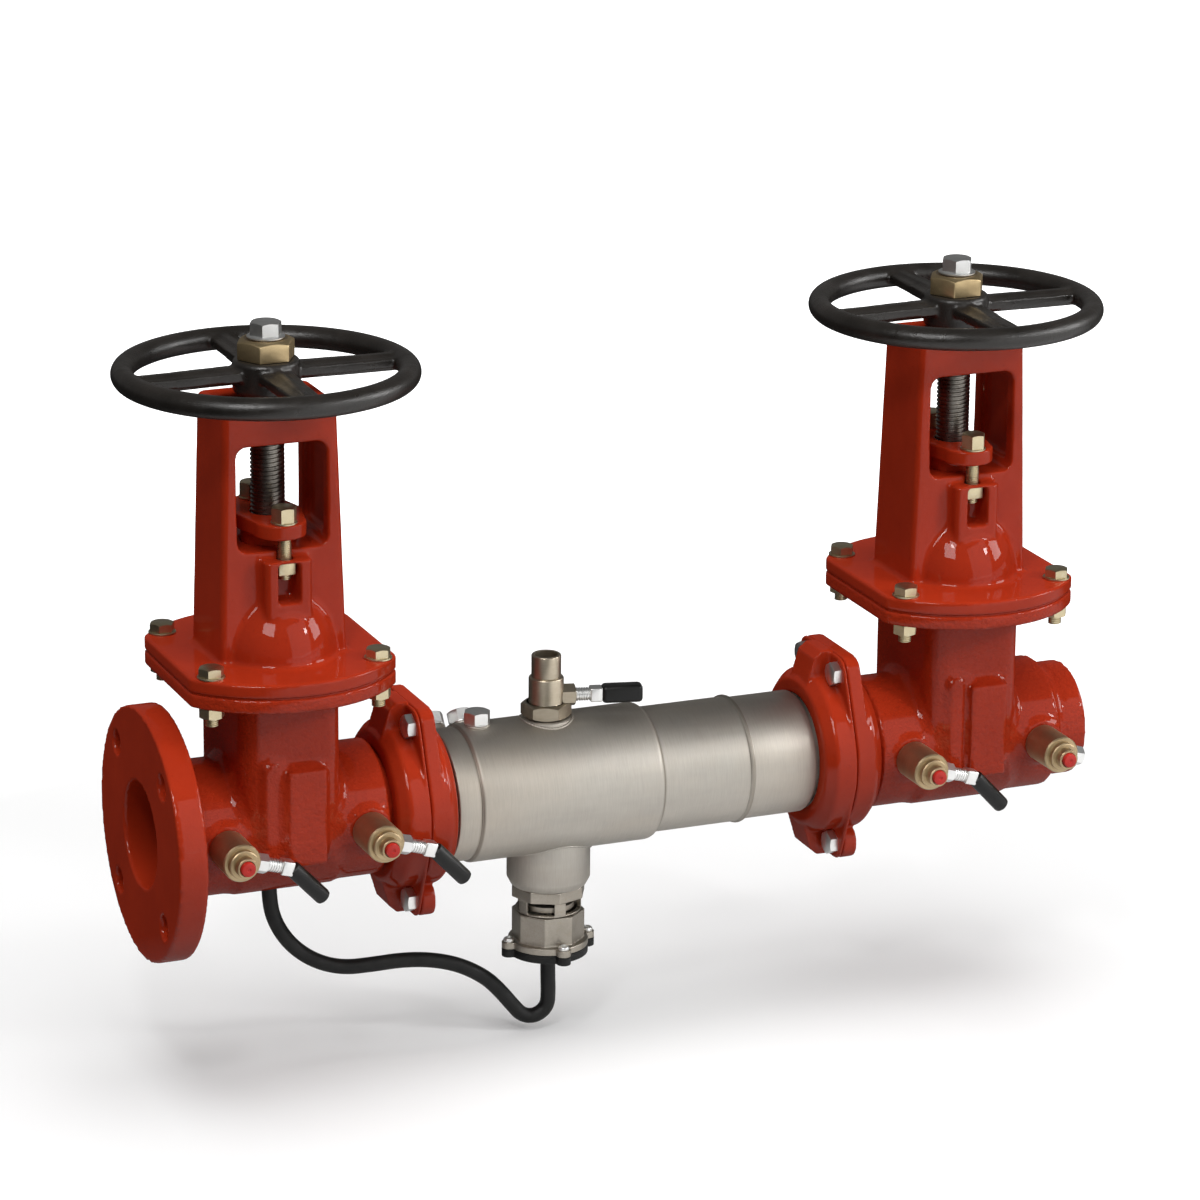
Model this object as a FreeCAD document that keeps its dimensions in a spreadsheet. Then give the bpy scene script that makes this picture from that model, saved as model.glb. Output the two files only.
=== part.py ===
import FreeCAD, Part
import math
import os
import re
import Sketcher

# Reduced pressure backflow assembly, line size 3 inch, in millimetres.
# The origin is the centre of the inlet flange face, +X runs downstream and +Z runs up.

Vector = FreeCAD.Vector
Rotation = FreeCAD.Rotation

# Driving sizes in millimetres, angles in degrees
SIZES = {
    # Pipe ends and the grooved joints
    "pipe_od": 88.9,
    "pipe_bore": 80.0,
    "groove_from_end": 15.88,
    "groove_width": 8.74,
    "groove_deep": 1.98,
    "groove_land": 1.4,
    "pipe_gap": 3.2,
    "ring_half": 24.0,
    "ring_wall": 12.8,
    "ring_shoulder": 8.0,
    "ring_round": 6.0,
    "ring_parting": 0.25,
    "ring_lip": 2.5,
    "ring_room": 6.75,
    "ring_slip": 0.45,
    "lock_width": 3.4,
    "lock_rise": 5.05,
    "lock_split": 6.0,
    "lock_gap": 0.3,
    "joint_gasket_half": 15.5,
    "joint_gasket_gap": 0.2,
    "joint_bolt_side": 28.0,
    "joint_bolt_rise": 4.0,
    "joint_bolt_fit": 0.3,
    "joint_ear": 13.0,
    "joint_ear_thick": 2.5,
    "joint_back_thick": 11.0,
    "joint_hump_wide": 30.0,
    "hump_foot": 23.0,
    "hump_foot_drop": 10.0,
    "hump_brow": 16.0,
    "hump_brow_rise": 13.0,
    "hump_crest": 10.0,
    "hump_rise": 18.5,
    "lug_lean": 21.5,
    "joint_bolt_long": 13.5,
    # Bolts of the casting joints
    "bolt_dia": 10.0,
    "bolt_slack": 0.6,
    "bolt_flats": 16.5,
    "bolt_head": 6.6,
    "bolt_tail": 6.0,
    "washer_od": 20.5,
    "washer_thick": 1.5,
    "nut_tall": 8.0,
    # Gate valve body
    "valve_half": 101.6,
    "flange_od": 190.5,
    "flange_thick": 22.0,
    "flange_circle": 152.4,
    "flange_hole": 19.0,
    "barrel_od": 102.0,
    "neck_wide": 76.0,
    "neck_deep": 110.0,
    "neck_bottom": 51.0,
    "neck_corner": 15.0,
    "neck_round": 50.0,
    "pad_middle": 7.0,
    "pad_wide": 30.0,
    "pad_reach": 64.0,
    "pad_low": 18.0,
    "pad_high": 56.0,
    "rib_at": 18.0,
    "rib_wide": 13.0,
    "rib_reach": 59.0,
    "deck_top": 122.7,
    "deck_thick": 10.7,
    "deck_od": 192.0,
    "deck_wide": 158.0,
    "deck_corner": 12.0,
    "deck_gasket": 0.9,
    "gasket_inset": 1.5,
    "deck_bolt_x": 63.7,
    "deck_bolt_y": 57.2,
    "chamber_wide": 54.0,
    "chamber_deep": 100.0,
    "chamber_bottom": 47.5,
    "chamber_round": 46.0,
    "throat_half": 24.0,
    "throat_bore": 77.0,
    "seat_half": 18.0,
    "seat_angle": 5.0,
    "seat_gap": 0.3,
    "wedge_od": 94.0,
    "wedge_dish": 2.0,
    "wedge_boss_wide": 30.0,
    "wedge_boss_deep": 34.0,
    "wedge_boss_top": 63.0,
    # Bonnet and yoke
    "bonnet_plate": 10.4,
    "dome_wide": 98.0,
    "dome_deep": 122.0,
    "dome_tall": 60.0,
    "dome_wall": 10.0,
    "dome_room_tall": 38.0,
    "tower_wide": 97.0,
    "tower_deep": 70.0,
    "tower_top_wide": 86.0,
    "tower_top_deep": 65.0,
    "tower_top": 323.5,
    "tower_corner": 5.0,
    "window_wide": 69.0,
    "window_low": 216.0,
    "window_high": 294.5,
    "window_corner": 8.0,
    "leg_hollow_wide": 79.0,
    "leg_hollow_deep": 42.0,
    "leg_hollow_inset": 7.0,
    "packing_od": 41.0,
    "packing_low": 176.0,
    "packing_ring": 6.8,
    "packing_slack": 0.3,
    "gland_low": 226.0,
    "gland_thick": 11.0,
    "gland_centre": 49.0,
    "gland_end": 38.0,
    "gland_end_at": 27.0,
    "gland_web": 4.0,
    "gland_bolt_y": 36.0,
    "gland_bolt_dia": 10.0,
    "gland_flats": 16.5,
    "gland_head": 11.0,
    "gland_pad_wide": 36.0,
    "gland_pad_reach": 48.0,
    "gland_pad_top": 211.0,
    "slot_wide": 17.0,
    "slot_deep": 20.0,
    "slot_low": 179.0,
    "slot_high": 209.0,
    "square_nut": 13.2,
    "square_nut_tall": 9.6,
    # Stem, sleeve and handwheel
    "stem_dia": 25.4,
    "stem_gap": 0.08,
    "stem_head_dia": 28.0,
    "stem_head_low": 51.0,
    "stem_head_tall": 7.0,
    "stem_neck_dia": 18.0,
    "stem_neck_tall": 5.5,
    "tee_gap": 0.3,
    "gland_gap": 0.4,
    "sleeve_od": 32.0,
    "sleeve_collar_dia": 43.0,
    "sleeve_collar_tall": 4.0,
    "collar_sunk": 0.2,
    "collar_gap": 0.4,
    "sleeve_top": 366.0,
    "wheel_od": 224.0,
    "rim_dia": 17.0,
    "rim_height": 340.5,
    "hub_dia": 49.0,
    "hub_low": 326.0,
    "hub_top": 351.0,
    "spoke_wide": 25.0,
    "spoke_rim_wide": 20.0,
    "spoke_thick": 7.0,
    "spoke_rib": 7.0,
    "spoke_rib_up": 2.0,
    "spoke_rib_down": 4.0,
    "spoke_hub_height": 341.0,
    "wheel_nut_flats": 38.0,
    "wheel_nut_chamfer": 3.0,
    "cap_washer_dia": 28.0,
    "cap_washer_thick": 2.7,
    "cap_flats": 21.0,
    "cap_tall": 9.5,
    # Check housing
    "housing_long": 342.4,
    "tube_wall": 2.6,
    "shell_od": 105.0,
    "neck_drop": 2.0,
    "middle_drop": 4.5,
    "end_drop": 1.0,
    "bead_rise": 1.3,
    "bead_wide": 4.0,
    "step_in": 25.2,
    "step_slope": 1.2,
    "bore_step": 2.0,
    "bore_step_end": 5.0,
    "shell_start": 44.0,
    "shell_end": 191.0,
    "shell_ease": 1.5,
    "shell_corner": 5.0,
    "shell_fall": 3.0,
    "bead_at": 264.0,
    "relief_at": 116.1,
    "spigot_od": 63.5,
    "spigot_bore": 55.0,
    "spigot_low": 74.3,
    "spigot_end": 79.8,
    "spigot_end_od": 58.0,
    "spigot_floor": 5.0,
    "relief_thread": 44.0,
    "top_cock_at": 113.6,
    "weld_boss_dia": 39.0,
    "weld_boss_rise": 0.2,
    "plug_at": 58.0,
    "plug_back": 34.0,
    "plug_turn": 36.0,
    "plug_flats": 18.0,
    "plug_tall": 10.0,
    "plug_thread": 14.0,
    "plug_grip": 3.4,
    "plug_boss_rise": 1.0,
    "plug_boss_long": 20.0,
    "plug_gap": 0.3,
    # Check cartridges, sized from the bore that holds them
    "check_first_at": 46.0,
    "check_second_at": 204.0,
    "check_slack": 0.15,
    "seat_ring_long": 9.0,
    "seat_throat": 60.0,
    "cage_long": 44.0,
    "cage_leg": 6.0,
    "cage_hub_dia": 18.0,
    "cage_hub_long": 10.0,
    "disc_od": 70.0,
    "disc_thick": 6.0,
    "check_stem_dia": 8.0,
    "check_stem_gap": 0.08,
    "check_spring_dia": 26.0,
    "spring_wire": 2.4,
    "check_turns": 4.0,
    "check_lift": 16.0,
    # Relief valve
    "nut_across": 53.6,
    "octagon_turn": -4.0,
    "nut_end": 89.2,
    "window_ring_od": 50.2,
    "window_ring_bore": 43.0,
    "window_ring_end": 101.0,
    "outlet_wide": 21.0,
    "outlet_low_rim": 1.4,
    "relief_seat_dia": 34.0,
    "relief_body_across": 51.4,
    "relief_body_bore": 43.0,
    "relief_web_at": 108.0,
    "relief_web": 4.0,
    "ear_flange_top": 124.0,
    "ear_flange_end": 129.5,
    "ear_flange_od": 61.0,
    "ear_at": 32.0,
    "ear_dia": 11.0,
    "diaphragm_thick": 1.2,
    "cover_thick": 5.2,
    "cover_boss_dia": 19.0,
    "cover_boss_tall": 3.0,
    "relief_screw_dia": 4.8,
    "relief_screw_head": 8.4,
    "relief_screw_tall": 3.2,
    "poppet_dia": 40.0,
    "poppet_thick": 4.0,
    "poppet_stem": 7.0,
    "poppet_plate_dia": 36.0,
    "poppet_plate_thick": 3.0,
    "poppet_travel": 5.0,
    "relief_spring_dia": 24.0,
    "relief_spring_wire": 2.0,
    "relief_turns": 3.0,
    # Sensing line
    "hose_od": 11.6,
    "hose_boss_x": 7.6,
    "hose_boss_y": 30.0,
    "hose_boss_dia": 22.0,
    "hose_boss_low": 53.0,
    "hose_fit_low": 62.0,
    "hose_fit_flats": 16.0,
    "hose_fit_thread": 10.0,
    "hose_collar_dia": 15.0,
    "hose_collar_tall": 3.0,
    # Test cocks
    "cock_left": 51.5,
    "cock_right": 59.0,
    "cock_boss_dia": 34.0,
    "cock_boss_face": 52.0,
    "cock_thread": 16.0,
    "cock_seat_gap": 0.3,
    "cock_dia": 28.5,
    "cock_shoulder": 86.0,
    "cock_step_dia": 22.0,
    "cock_step_end": 91.0,
    "cock_mouth_dia": 15.4,
    "cock_end": 98.0,
    "cock_bore": 11.6,
    "cap_gap": 0.2,
    "cap_proud": 3.0,
    "cap_sunk": 8.0,
    "lever_at": 77.0,
    "branch_lean": 16.0,
    "lever_nut_start": 14.0,
    "lever_nut_end": 22.0,
    "lever_nut_flats": 13.0,
    "lever_stub": 11.0,
    "lever_spindle": 7.6,
    "lever_gap": 0.08,
    "lever_neck_dia": 10.0,
    "lever_neck_end": 33.0,
    "lever_block": 11.0,
    "lever_block_end": 45.0,
    "grip_long": 37.0,
    "grip_wide": 12.6,
    "grip_thick": 12.6,
    "grip_bend": 31.0,
    "top_nut_across": 33.2,
    "top_nut_turn": 37.4,
    "top_nut_tall": 11.5,
    "top_cock_dia": 22.4,
    "top_cock_waist": 26.5,
    "top_waist_high": 19.5,
    "top_cock_rise": 49.3,
    "top_mouth_dia": 17.5,
    "top_mouth_deep": 14.0,
    "top_lever_rise": 16.5,
    "top_branch_turn": 14.0,
    "top_side_flats": 15.0,
    "top_side_start": 11.0,
    "top_grip_wide": 14.0,
    "top_grip_long": 31.0,
}

# Diameters and heights that follow from the pipe and the shell
TIED = {
    "groove_od": "pipe_od - 2 * groove_deep",
    "ring_pocket_od": "pipe_od + 2 * ring_room",
    "ring_od": "ring_pocket_od + 2 * ring_wall",
    "lock_od": "pipe_od + 2 * lock_rise",
    "joint_bolt_high": "ring_od / 2 + joint_bolt_rise",
    "hump_foot_high": "ring_od / 2 - hump_foot_drop",
    "hump_brow_high": "ring_od / 2 + hump_brow_rise",
    "hump_top": "ring_od / 2 + hump_rise",
    "neck_tube_od": "shell_od - 2 * neck_drop",
    "middle_od": "shell_od - 2 * middle_drop",
    "end_tube_od": "middle_od - 2 * end_drop",
    "bead_od": "middle_od + 2 * bead_rise",
}

# Route of the sensing line from the valve fitting to the relief cover, points chosen by hand
HOSE_ROUTE = [
    (109.2, 30.0, -62.0),
    (109.2, 30.0, -79.3),
    (114.6, 29.2, -98.2),
    (126.7, 27.5, -116.1),
    (144.3, 25.0, -129.4),
    (164.7, 22.1, -136.0),
    (187.0, 19.0, -135.4),
    (210.0, 15.8, -133.7),
    (233.0, 12.5, -135.6),
    (254.5, 9.5, -141.9),
    (273.5, 6.8, -153.2),
    (284.8, 5.3, -165.0),
    (293.9, 4.0, -176.8),
    (302.6, 2.8, -187.7),
    (313.9, 1.3, -188.9),
    (322.5, 0.3, -181.5),
    (323.0, 0.1, -169.0),
    (322.5, 0.0, -155.5),
    (322.5, 0.0, -142.2),
]

doc = FreeCAD.newDocument("backflow_assembly")
sheet = doc.addObject("Spreadsheet::Sheet", "Sizes")
cells = {alias: str(value) for alias, value in SIZES.items()}
cells.update({alias: "=" + formula for alias, formula in TIED.items()})
for row, (alias, content) in enumerate(cells.items(), start=1):
    sheet.set("A%d" % row, alias)
    sheet.set("B%d" % row, content)
    sheet.setAlias("B%d" % row, alias)
doc.recompute()

nodes = []

AIMS = {
    "X": Rotation(Vector(0, 1, 0), 90),
    "-X": Rotation(Vector(0, 1, 0), -90),
    "Y": Rotation(Vector(1, 0, 0), -90),
    "-Y": Rotation(Vector(1, 0, 0), 90),
    "Z": Rotation(),
    "-Z": Rotation(Vector(1, 0, 0), 180),
}


def size(alias):
    """The present value of one size."""
    return sheet.get(alias)


def from_sheet(formula):
    """A size formula with each alias pointing at the sheet."""
    def point(word):
        return "Sizes." + word.group() if word.group() in cells else word.group()
    return re.sub(r"[a-z][a-z_]*", point, formula)


def bind(thing, **formulas):
    """Tie properties of one object to the sheet."""
    for name, formula in formulas.items():
        thing.setExpression(name, from_sheet(formula))


def put(thing, x="0", y="0", z="0", aim="Z", turn=None):
    """Turn one object and tie its place to the sheet."""
    thing.Placement = FreeCAD.Placement(Vector(), turn or AIMS[aim])
    for axis, formula in (("x", x), ("y", y), ("z", z)):
        if formula != "0":
            thing.setExpression("Placement.Base." + axis, from_sheet(formula))
    return thing


def rod(dia, long, x="0", y="0", z="0", aim="Z"):
    """A round bar."""
    bar = doc.addObject("Part::Cylinder", "Rod")
    bind(bar, Radius="(" + dia + ") / 2", Height=long)
    return put(bar, x, y, z, aim)


def block(wide, deep, tall, x="0", y="0", z="0"):
    """A box that is centred on x and y and stands on z."""
    box = doc.addObject("Part::Box", "Block")
    bind(box, Length=wide, Width=deep, Height=tall)
    return put(box, x + " - (" + wide + ") / 2", y + " - (" + deep + ") / 2", z)


def prism(sides, across, tall, x="0", y="0", z="0", aim="Z", turn=None):
    """A bar with flat sides, measured across its flats."""
    bar = doc.addObject("Part::Prism", "Prism")
    bar.Polygon = sides
    bind(bar, Circumradius="(" + across + ") / 2 / cos(" + str(180 / sides) + " * 1deg)", Height=tall)
    return put(bar, x, y, z, aim, turn)


def fuse(*shapes):
    """One solid made from several."""
    whole = doc.addObject("Part::MultiFuse", "Fuse")
    whole.Shapes = list(shapes)
    return whole


def cut(base, *tools):
    """A base with tools cut away."""
    rest = doc.addObject("Part::Cut", "Cut")
    rest.Base = base
    rest.Tool = tools[0] if len(tools) == 1 else fuse(*tools)
    return rest


def common(first, second):
    """What two solids share."""
    shared = doc.addObject("Part::Common", "Common")
    shared.Base = first
    shared.Tool = second
    return shared


def group(*solids):
    """Separate solids that share one node."""
    held = doc.addObject("Part::Compound", "Group")
    held.Links = list(solids)
    return held


def finish(thing, label, x="0", y="0", z="0", turn=None):
    """Name a sub-part and put it in the assembly."""
    put(thing, x, y, z, turn=turn)
    thing.Label = label
    nodes.append(thing)
    return thing


def new_body(name):
    return doc.addObject("PartDesign::Body", name)


def plane_of(body, role):
    """One of the origin planes of a body."""
    return [item for item in body.Origin.OriginFeatures if item.Role == role][0]


def outline(body, role, points, lift="0"):
    """A closed outline of straight runs, each corner tied to the sheet."""
    sketch = body.newObject("Sketcher::SketchObject", "Outline")
    sketch.AttachmentSupport = [(plane_of(body, role), "")]
    sketch.MapMode = "FlatFace"
    if lift != "0":
        sketch.setExpression("AttachmentOffset.Base.z", from_sheet(lift))
    count = len(points)
    spread = [2 * math.pi * step / count for step in range(count)]
    spots = [Vector(50 * math.cos(angle), 50 * math.sin(angle), 0) for angle in spread]
    sketch.addGeometry([Part.LineSegment(spots[k], spots[(k + 1) % count]) for k in range(count)])
    rules = [Sketcher.Constraint("Coincident", k, 2, (k + 1) % count, 1) for k in range(count)]
    ties = {}
    for corner, (across, up) in enumerate(points):
        for kind, formula, axis, now in (("DistanceX", across, -2, spots[corner].x),
                                         ("DistanceY", up, -1, spots[corner].y)):
            if formula == "0":
                rules.append(Sketcher.Constraint("PointOnObject", corner, 1, axis))
            else:
                ties[len(rules)] = formula
                rules.append(Sketcher.Constraint(kind, corner, 1, now))
    sketch.addConstraint(rules)
    for place, formula in ties.items():
        sketch.setExpression("Constraints[%d]" % place, from_sheet(formula))
    return sketch


def turned(name, role, axis, points):
    """A turned piece: a closed outline spun about H_Axis or V_Axis of its sketch."""
    body = new_body(name)
    sketch = outline(body, role, points)
    spin = body.newObject("PartDesign::Revolution", "Spin")
    spin.Profile = sketch
    spin.ReferenceAxis = (sketch, [axis])
    spin.Angle = 360
    return body


def along_x(name, points):
    """Turned about X from (x, radius) corners."""
    return turned(name, "XY_Plane", "H_Axis", points)


def along_z(name, points):
    """Turned about Z from (radius, z) corners."""
    return turned(name, "XZ_Plane", "V_Axis", points)


def along_y(name, points):
    """Turned about Y from (radius, y) corners."""
    return turned(name, "XY_Plane", "V_Axis", points)


def padded(name, role, points, long, lift="0"):
    """A flat outline given thickness."""
    body = new_body(name)
    sketch = outline(body, role, points, lift)
    pad = body.newObject("PartDesign::Pad", "Pad")
    pad.Profile = sketch
    bind(pad, Length=long)
    return body


def box_body(name, wide, deep, low, high):
    """A centred box from height low to height high, made to be rounded."""
    side = "(" + wide + ") / 2"
    end = "(" + deep + ") / 2"
    corners = [("-" + side, "-" + end), (side, "-" + end), (side, end), ("-" + side, end)]
    return padded(name, "XY_Plane", corners, "(" + high + ") - (" + low + ")", low)


def trapezoid(bottom, top, low, high):
    """Corners of an upright outline that narrows from bottom to top."""
    return [("-(" + bottom + ") / 2", low), ("(" + bottom + ") / 2", low),
            ("(" + top + ") / 2", high), ("-(" + top + ") / 2", high)]


def rectangle(wide, deep):
    """Corners of a centred rectangle."""
    side = "(" + wide + ") / 2"
    end = "(" + deep + ") / 2"
    return [("-" + side, "-" + end), (side, "-" + end), (side, end), ("-" + side, end)]


def round_edges(body, radius, wanted):
    """Round the edges that a rule picks."""
    doc.recompute()
    base = body.Tip
    picked = ["Edge%d" % (k + 1) for k, edge in enumerate(base.Shape.Edges) if wanted(edge)]
    fillet = body.newObject("PartDesign::Fillet", "Round")
    fillet.Base = (base, picked)
    bind(fillet, Radius=radius)
    return body


def runs_along(axis):
    """A rule that picks straight edges along an axis, slightly slanted ones too."""
    def wanted(edge):
        if len(edge.Vertexes) != 2 or edge.Curve.TypeId != "Part::GeomLine":
            return False
        line = edge.Vertexes[1].Point.sub(edge.Vertexes[0].Point)
        return abs(line.dot(axis)) > 0.97 * line.Length
    return wanted


ALONG_X = Vector(1, 0, 0)
ALONG_Y = Vector(0, 1, 0)
ALONG_Z = Vector(0, 0, 1)
SIDES = ("", "-")


def spots(x, y):
    """The four places at plus and minus x and y."""
    return [(east + x, north + y) for east in SIDES for north in SIDES]


def spool(name, flanged):
    """Outside of the valve barrel, with a flange or a grooved end upstream."""
    end = "valve_half"
    land = end + " - groove_from_end"
    groove = land + " - groove_width"
    collar = groove + " - groove_land"
    grooved = [
        (collar, "barrel_od / 2"), (collar, "pipe_od / 2"), (groove, "pipe_od / 2"),
        (groove, "groove_od / 2"), (land, "groove_od / 2"), (land, "pipe_od / 2"),
        (end, "pipe_od / 2"), (end, "0"),
    ]
    if flanged:
        upstream = [
            ("-valve_half", "0"), ("-valve_half", "flange_od / 2"),
            ("flange_thick - valve_half", "flange_od / 2"), ("flange_thick - valve_half", "barrel_od / 2"),
        ]
    else:
        upstream = [("-(" + x + ")", radius) for x, radius in reversed(grooved)]
    return along_x(name, upstream + grooved)


def deck_plate(name, low, thick, inset="0"):
    """The round plate with two flat sides that the body, gasket and bonnet share."""
    disc = rod("deck_od - 2 * (" + inset + ")", thick, z=low)
    sides = box_body(name, "deck_wide - 2 * (" + inset + ")", "deck_od + 20", low, "(" + low + ") + " + thick)
    plate = common(disc, sides)
    holder = new_body(name + "_rounded")
    holder.BaseFeature = plate
    return round_edges(holder, "deck_corner", runs_along(ALONG_Z))


def deck_holes(low, long):
    """Clearance holes of the four bonnet bolts."""
    return [rod("bolt_dia + 2 * bolt_slack", long, x, y, low) for x, y in spots("deck_bolt_x", "deck_bolt_y")]


def taper_room(name, low, high, slack):
    """The wedge-shaped room between the two seats, tilted by the seat angle."""
    def half(height):
        return "(seat_half - " + slack + " + (" + height + ") * tan(seat_angle * 1deg))"
    sides = trapezoid("2 * " + half(low), "2 * " + half(high), low, high)
    return padded(name, "XZ_Plane", sides, "wedge_od + 40", "-wedge_od / 2 - 20")


def valve_body(side, flanged, x):
    """Body casting: barrel, neck, casting pads and ribs, deck, seats and cock bosses."""
    top = "deck_top - deck_thick / 2"
    corners = box_body("NeckCorners", "neck_wide", "neck_deep", "-neck_bottom", top)
    round_edges(corners, "neck_corner", runs_along(ALONG_Z))
    floor = box_body("NeckFloor", "neck_wide + 2", "neck_deep", "-neck_bottom", top)
    floor_edges = runs_along(ALONG_X)
    round_edges(floor, "neck_round", lambda edge: floor_edges(edge) and edge.BoundBox.ZMax < 0)
    neck = common(corners, floor)
    pads = block("pad_wide", "2 * pad_reach", "pad_low + pad_high", "pad_middle", "0", "-pad_low")
    rib = block("rib_wide", "2 * rib_reach", "pad_low + pad_high", "-rib_at", "0", "-pad_low")
    rib_top = rod("rib_wide", "2 * rib_reach", "-rib_at", "-rib_reach", "pad_high", "Y")
    deck = deck_plate("Deck", "deck_top - deck_thick", "deck_thick")
    bosses = [rod("cock_boss_dia", "cock_boss_face", at, aim="-Y") for at in ("-cock_left", "cock_right")]
    outside = [spool("Spool", flanged), neck, pads, rib, rib_top, deck] + bosses

    chamber = box_body("Chamber", "chamber_wide", "chamber_deep", "-chamber_bottom", "deck_top + 1")
    round_edges(chamber, "chamber_round", lambda edge: floor_edges(edge) and edge.BoundBox.ZMax < 0)
    seats = cut(rod("wedge_od", "chamber_wide + 2", "-chamber_wide / 2 - 1", aim="X"),
                taper_room("Room", "-60", "deck_top + 10", "0"))
    hollow = [rod("throat_bore", "2 * valve_half + 2", "-valve_half - 1", aim="X"), cut(chamber, seats)]
    hollow += [rod("pipe_bore", "valve_half - throat_half + 1", start, aim="X")
               for start in ("-valve_half - 1", "throat_half")]
    hollow += deck_holes("deck_top - deck_thick - 1", "deck_thick + 2")
    hollow += [rod("cock_thread + 0.2", "cock_boss_face + 1", at, aim="-Y") for at in ("-cock_left", "cock_right")]
    if flanged:
        outside.append(rod("hose_boss_dia", "hose_boss_low", "hose_boss_x", "hose_boss_y", aim="-Z"))
        hollow.append(rod("hose_fit_thread + 0.2", "hose_boss_low + 1", "hose_boss_x", "hose_boss_y", aim="-Z"))
        ring = "flange_circle / 2 * cos(45deg)"
        hollow += [rod("flange_hole", "flange_thick + 2", "-valve_half - 1", y, z, "X") for y, z in spots(ring, ring)]
    finish(cut(fuse(*outside), *hollow), side + "_valve_body", x)


def bonnet(side, x):
    """Yoke bonnet: plate, dome, tapered tower with its window, hollow legs, gland pads and sleeve seat."""
    low = "deck_top + deck_gasket"
    plate_top = low + " + bonnet_plate"
    dome = doc.addObject("Part::Ellipsoid", "Dome")
    dome.Angle1 = 0
    bind(dome, Radius1="dome_tall", Radius2="dome_wide / 2", Radius3="dome_deep / 2")
    put(dome, z=plate_top)
    front = trapezoid("tower_wide", "tower_top_wide", plate_top, "tower_top")
    flank = trapezoid("tower_deep", "tower_top_deep", plate_top, "tower_top")
    tower = new_body("Tower")
    tower.BaseFeature = common(padded("TowerFront", "XZ_Plane", front, "tower_deep + 2", "-tower_deep / 2 - 1"),
                               padded("TowerFlank", "YZ_Plane", flank, "tower_wide + 2", "-tower_wide / 2 - 1"))
    upright = runs_along(ALONG_Z)
    top = size("tower_top")
    round_edges(tower, "tower_corner", lambda edge: upright(edge) or edge.BoundBox.ZMin > top - 0.1)
    pads = box_body("GlandPads", "gland_pad_wide", "2 * gland_pad_reach", plate_top + " + 10", "gland_pad_top")
    round_edges(pads, "tower_corner", runs_along(ALONG_Z))
    window = padded("Window", "XZ_Plane", [("-window_wide / 2", "window_low"), ("window_wide / 2", "window_low"),
                                           ("window_wide / 2", "window_high"), ("-window_wide / 2", "window_high")],
                    "tower_deep + 4", "-tower_deep / 2 - 2")
    round_edges(window, "window_corner", runs_along(ALONG_Y))
    hollow_low = "window_low + leg_hollow_inset"
    hollow_high = "window_high - leg_hollow_inset"
    legs = box_body("LegHollow", "leg_hollow_wide", "leg_hollow_deep", hollow_low, hollow_high)
    round_edges(legs, "window_corner / 2", runs_along(ALONG_X))

    inner = doc.addObject("Part::Ellipsoid", "DomeInside")
    inner.Angle1 = 0
    bind(inner, Radius1="dome_room_tall", Radius2="dome_wide / 2 - dome_wall",
         Radius3="dome_deep / 2 - dome_wall")
    put(inner, z=low)
    stem_hole = rod("stem_dia + 2 * gland_gap", "window_low", z=low)
    packing = rod("packing_od", "window_low - packing_low + 10", z="packing_low")
    slot = block("slot_wide", "2 * gland_pad_reach + 2", "slot_high - slot_low", z="slot_low")
    keep = block("slot_wide + 2", "2 * (gland_pad_reach - slot_deep)", "slot_high - slot_low + 2", z="slot_low - 1")
    bolt_ways = [rod("gland_bolt_dia + 2 * bolt_slack", "gland_pad_top - slot_low", "0", y, "slot_high - 1")
                 for y in ("-gland_bolt_y", "gland_bolt_y")]
    sleeve_way = rod("sleeve_od + 2 * stem_gap", "tower_top", z="window_high - 1")
    collar_seat = rod("sleeve_collar_dia + 3 * collar_gap", "sleeve_collar_tall + collar_sunk + collar_gap + 1",
                      z="window_high - 1")
    carved = cut(fuse(tower, pads), window, legs)
    whole = fuse(deck_plate("Plate", low, "bonnet_plate"), dome, carved)
    tools = [inner, stem_hole, packing, cut(slot, keep), sleeve_way, collar_seat] + bolt_ways
    tools += deck_holes(low + " - 1", "bonnet_plate + 2")
    finish(cut(whole, *tools), side + "_bonnet", x)


def bonnet_gasket(side, x):
    """Flat gasket between body and bonnet, a little inside their edges."""
    plate = deck_plate("Gasket", "deck_top", "deck_gasket", "gasket_inset")
    opening = box_body("GasketOpening", "chamber_wide", "chamber_deep - 6", "deck_top - 1", "deck_top + 5")
    finish(cut(plate, opening, *deck_holes("deck_top - 1", "5")), side + "_bonnet_gasket", x)


def cap_screw(long, x, y, z, aim="Z"):
    """A hex screw whose head seats at the given place, its shank pointing back along the aim."""
    head = prism(6, "bolt_flats", "bolt_head")
    return put(fuse(head, rod("bolt_dia", long, aim="-Z")), x, y, z, aim)


def hex_bolt(grip, x, y, z):
    """An upright hex bolt with a washer under its head and a nut below the grip."""
    head = prism(6, "bolt_flats", "bolt_head", z="washer_thick")
    washer = rod("washer_od", "washer_thick")
    shank = rod("bolt_dia", "(" + grip + ") + nut_tall + bolt_tail", aim="-Z")
    nut = prism(6, "bolt_flats", "nut_tall", z="-(" + grip + ") - nut_tall")
    return put(fuse(head, washer, shank, nut), x, y, z)


def bonnet_bolts(side, x):
    """Four bolts with washers and nuts through the bonnet, gasket and deck."""
    grip = "deck_thick + deck_gasket + bonnet_plate"
    top = "deck_top + deck_gasket + bonnet_plate"
    bolts = [hex_bolt(grip, at_x, at_y, top) for at_x, at_y in spots("deck_bolt_x", "deck_bolt_y")]
    finish(group(*bolts), side + "_bonnet_bolts", x)


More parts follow.
